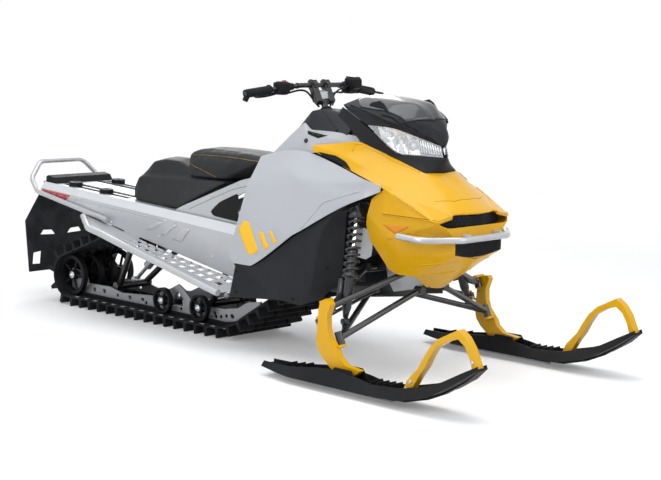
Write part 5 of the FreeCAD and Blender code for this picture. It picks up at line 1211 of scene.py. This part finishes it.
film("tail_reflector", NODES["tunnel"], [[(-1452, -200, 571), (-1219, -200, 556), (-1252, -200, 532),
    (-1425, -200, 555)]], "lens_red", way=ACROSS, lift=0.0015, deep=0.003)
rows = []
for k in range(STRIP_PARTS + 1):
    x = STRIP_START + STRIP_LENGTH * k / STRIP_PARTS
    rows.append([(x, y, z - fall * x) for y, z, fall in STRIP_EDGES])
panel("upper_strip", *grid(rows), "tunnel_metal", merge=0.0, wall=0.0010, levels=1, soft=0.0003,
    material="white_strip")
# Flat near-black discs of painted shade stand in for the holes in the skid rails
fasteners("rail_hole_shade", NODES["skid_rails"], [(x, -150, z) for x, z in ((-196, 86), (-163, 90), (-127, 98),
    (-92, 108), (-442, 88), (-483, 125), (-535, 90), (-700, 82), (-920, 90))], AIM, 0.0085, 0.0008,
    "rail_metal", material="seam_shadow")
plates("frame_infill", [(-221, 562), (-213, 572), (-166, 608), (-150, 616), (-53, 655), (-39, 650),
    (-39, 533), (-190, 544), (-207, 548)], 0.1581, 0.1603, "dark_plastic", 0.0006)
film("tunnel_embossing", NODES["tunnel"], [[(-631, -200, 444), (-542, -200, 492), (-501, -200, 489),
    (-574, -200, 449)], [(-515, -200, 436), (-428, -200, 492), (-399, -200, 487), (-493, -200, 429)],
    [(-435, -200, 421), (-370, -200, 479), (-313, -200, 475), (-370, -200, 413)]], "tunnel_metal",
    way=ACROSS, lift=0.0016, deep=0.0032)
bead("tunnel_swage", NODES["tunnel"], [[(-1440, -200, 560), (-800, -200, 520), (-480, -200, 500)]],
    "tunnel_metal", way=ACROSS, width=0.010, height=0.003)
bead("deck_gap", NODES["tunnel"], [[(-1345, -131, 620), (-835, -131, 590)]], "dark_plastic", "vent_black",
    way=DOWN, width=0.042, height=0.0022)
# A thin near-black line of painted shade along the groove in the side frames
bead("frame_groove_shade", NODES["side_frames"], [[(-370, -160, 562), (-81, -160, 672), (60, -160, 705)]],
    "silver_paint", "seam_shadow", way=ACROSS, width=0.003, height=0.0003)
plates("belly_plates", [(745, 425), (790, 445), (900, 436), (945, 400), (945, 352), (790, 318), (760, 360)],
    0.0570, 0.0585, "silver_paint", 0.0005)
plates("inner_plates", [(700, 600), (775, 585), (808, 545), (800, 480), (770, 462), (700, 470)], 0.2050,
    0.2075, "silver_paint", 0.0005)

# Wheel caps and board teeth

WHEEL_CAP = ((1, 0), (1, 0.004), (0.8, 0.007), (0.45, 0.007), (0.45, 0.013), (0, 0.013))
WHEELS = ((-1.273, 0.150, 0.019), (-0.577, 0.111, 0.017), (-0.313, 0.111, 0.017))
WHEEL_OUT = 0.154
for side, sign in SIDES:
    mesh = bmesh.new()
    for x, z, radius in WHEELS:
        profile = [(share * radius, height) for share, height in WHEEL_CAP]
        lathe(mesh, profile, (x, -WHEEL_OUT * sign, z), (0, -sign, 0), 18)
    piece(f"wheel_caps_{side}", mesh, "steel")

TOOTH = ((0.0, 0.35), (0.25, 1.0), (0.6, 1.0), (0.85, 0.35))
TEETH = 4
TOOTH_WALL = 0.0022
TOOTH_HEIGHT = 0.0085
SAW_COUNT = 11
SAW_ENDS = (-0.638, -0.594)
SAW_PITCH = 0.062
SAW_SINK = 0.0008
BOARD_INNER = 0.205
BOARD_WIDTH = 0.160
BOARD_ROWS = (0.14, 0.44, 0.78)
ABOVE_BOARD = 0.42


def saw(mesh, start, end):
    """A standing strip with a toothed upper edge."""
    along = (end - start) / TEETH
    side = along.cross(UP).normalized() * TOOTH_WALL / 2
    spots = [(start + along * (k + share), rise) for k in range(TEETH) for share, rise in TOOTH]
    rings = []
    for place, rise in spots + [(end, TOOTH[0][1])]:
        top = UP * TOOTH_HEIGHT * rise
        ring = (place - side, place + side, place + side + top, place - side + top)
        rings.append([mesh.verts.new(p) for p in ring])
    bridge(mesh, rings)


board_tree = tree_of(NODES["running_boards"])
for side, sign in SIDES:
    mesh = bmesh.new()
    for share in BOARD_ROWS:
        y = (-BOARD_INNER - BOARD_WIDTH * share) * sign
        for k in range(SAW_COUNT):
            ends = []
            for end in SAW_ENDS:
                x = end + SAW_PITCH * k
                spot, _ = lie(board_tree, Vector((x, y, ABOVE_BOARD)), Vector(DOWN), 0.0)
                ends.append(Vector((x, y, spot.z - SAW_SINK)))
            saw(mesh, *ends)
    piece(f"board_teeth_{side}", mesh, "tunnel_metal")


# Stage


def plain_rays(tree):
    """One for the rays that show the background: straight, mirrored or through glass."""
    path = add_node(tree, "ShaderNodeLightPath")
    found = path.outputs["Is Camera Ray"]
    for ray in ("Is Glossy Ray", "Is Transmission Ray"):
        larger = add_node(tree, "ShaderNodeMath")
        larger.operation = "MAXIMUM"
        tree.links.new(found, larger.inputs[0])
        tree.links.new(path.outputs[ray], larger.inputs[1])
        found = larger.outputs["Value"]
    return found


def join_shaders(tree, kind, *ends):
    """A node that mixes or adds shaders, with its sockets fed in their order."""
    node = add_node(tree, kind)
    for end, socket in zip(ends, node.inputs):
        tree.links.new(end, socket)
    return node.outputs["Shader"]


def make_floor():
    mesh = bpy.data.meshes.new("floor")
    build = bmesh.new()
    bmesh.ops.create_grid(build, x_segments=1, y_segments=1, size=FLOOR_HALF)
    build.to_mesh(mesh)
    floor = linked("floor", mesh)
    floor.location.z = FLOOR_LEVEL
    ground = Paint("floor", FLOOR_COLOR, 0.9)
    bare = ground.shader.outputs["BSDF"]
    glow = ground.new("ShaderNodeEmission", Strength=FLOOR_GLOW)
    white = ground.new("ShaderNodeEmission")
    distance = ground.new("ShaderNodeVectorMath")
    distance.operation = "LENGTH"
    ground.link(ground.place, distance.inputs[0])
    far = ground.level(distance.outputs["Value"], 0.0, 1.0, *FLOOR_FADE)
    near = join_shaders(ground.tree, "ShaderNodeAddShader", bare, glow.outputs["Emission"])
    fade = join_shaders(ground.tree, "ShaderNodeMixShader", far, near, white.outputs["Emission"])
    seen = join_shaders(ground.tree, "ShaderNodeMixShader", plain_rays(ground.tree), bare, fade)
    ground.link(seen, ground.out.inputs["Surface"])
    floor.data.materials.append(ground.material)


def make_world():
    world = bpy.data.worlds.new("studio")
    world.use_nodes = True
    tree = world.node_tree
    light = tree.nodes["Background"]
    light.inputs["Color"].default_value = WORLD_COLOR
    heading = add_node(tree, "ShaderNodeTexCoord")
    parts = add_node(tree, "ShaderNodeSeparateXYZ")
    tree.links.new(heading.outputs["Generated"], parts.inputs["Vector"])
    rise = add_node(tree, "ShaderNodeMapRange", To_Min=WORLD_LIGHT[0], To_Max=WORLD_LIGHT[1])
    tree.links.new(parts.outputs["Z"], rise.inputs["Value"])
    tree.links.new(rise.outputs["Result"], light.inputs["Strength"])
    backdrop = add_node(tree, "ShaderNodeBackground", Color=(1.0, 1.0, 1.0, 1.0))
    seen = join_shaders(tree, "ShaderNodeMixShader", plain_rays(tree), light.outputs["Background"],
        backdrop.outputs["Background"])
    tree.links.new(seen, tree.nodes["World Output"].inputs["Surface"])
    bpy.context.scene.world = world


make_camera()
make_floor()
make_world()
for name, place, target, size, power in (
        ("overhead", (0.4, -0.6, 4.2), (0.0, 0.0, 0.5), (4.2, 3.2), 112.0),
        ("side", (1.4, -4.6, 2.6), (0.1, 0.0, 0.5), (3.0, 2.2), 100.0),
        ("front", (5.2, 0.6, 2.4), (0.6, 0.0, 0.6), (2.6, 2.0), 70.0),
        ("back", (-3.6, 3.0, 2.8), (-0.4, 0.0, 0.5), (2.6, 2.0), 70.0)):
    lamp = bpy.data.lights.new(name, "AREA")
    lamp.shape = "RECTANGLE"
    lamp.size, lamp.size_y = size
    lamp.energy = power
    thing = linked(name, lamp)
    thing.location = place
    thing.rotation_euler = (Vector(target) - Vector(place)).to_track_quat("-Z", "Y").to_euler()

scene = bpy.context.scene
scene.view_settings.view_transform = "Standard"
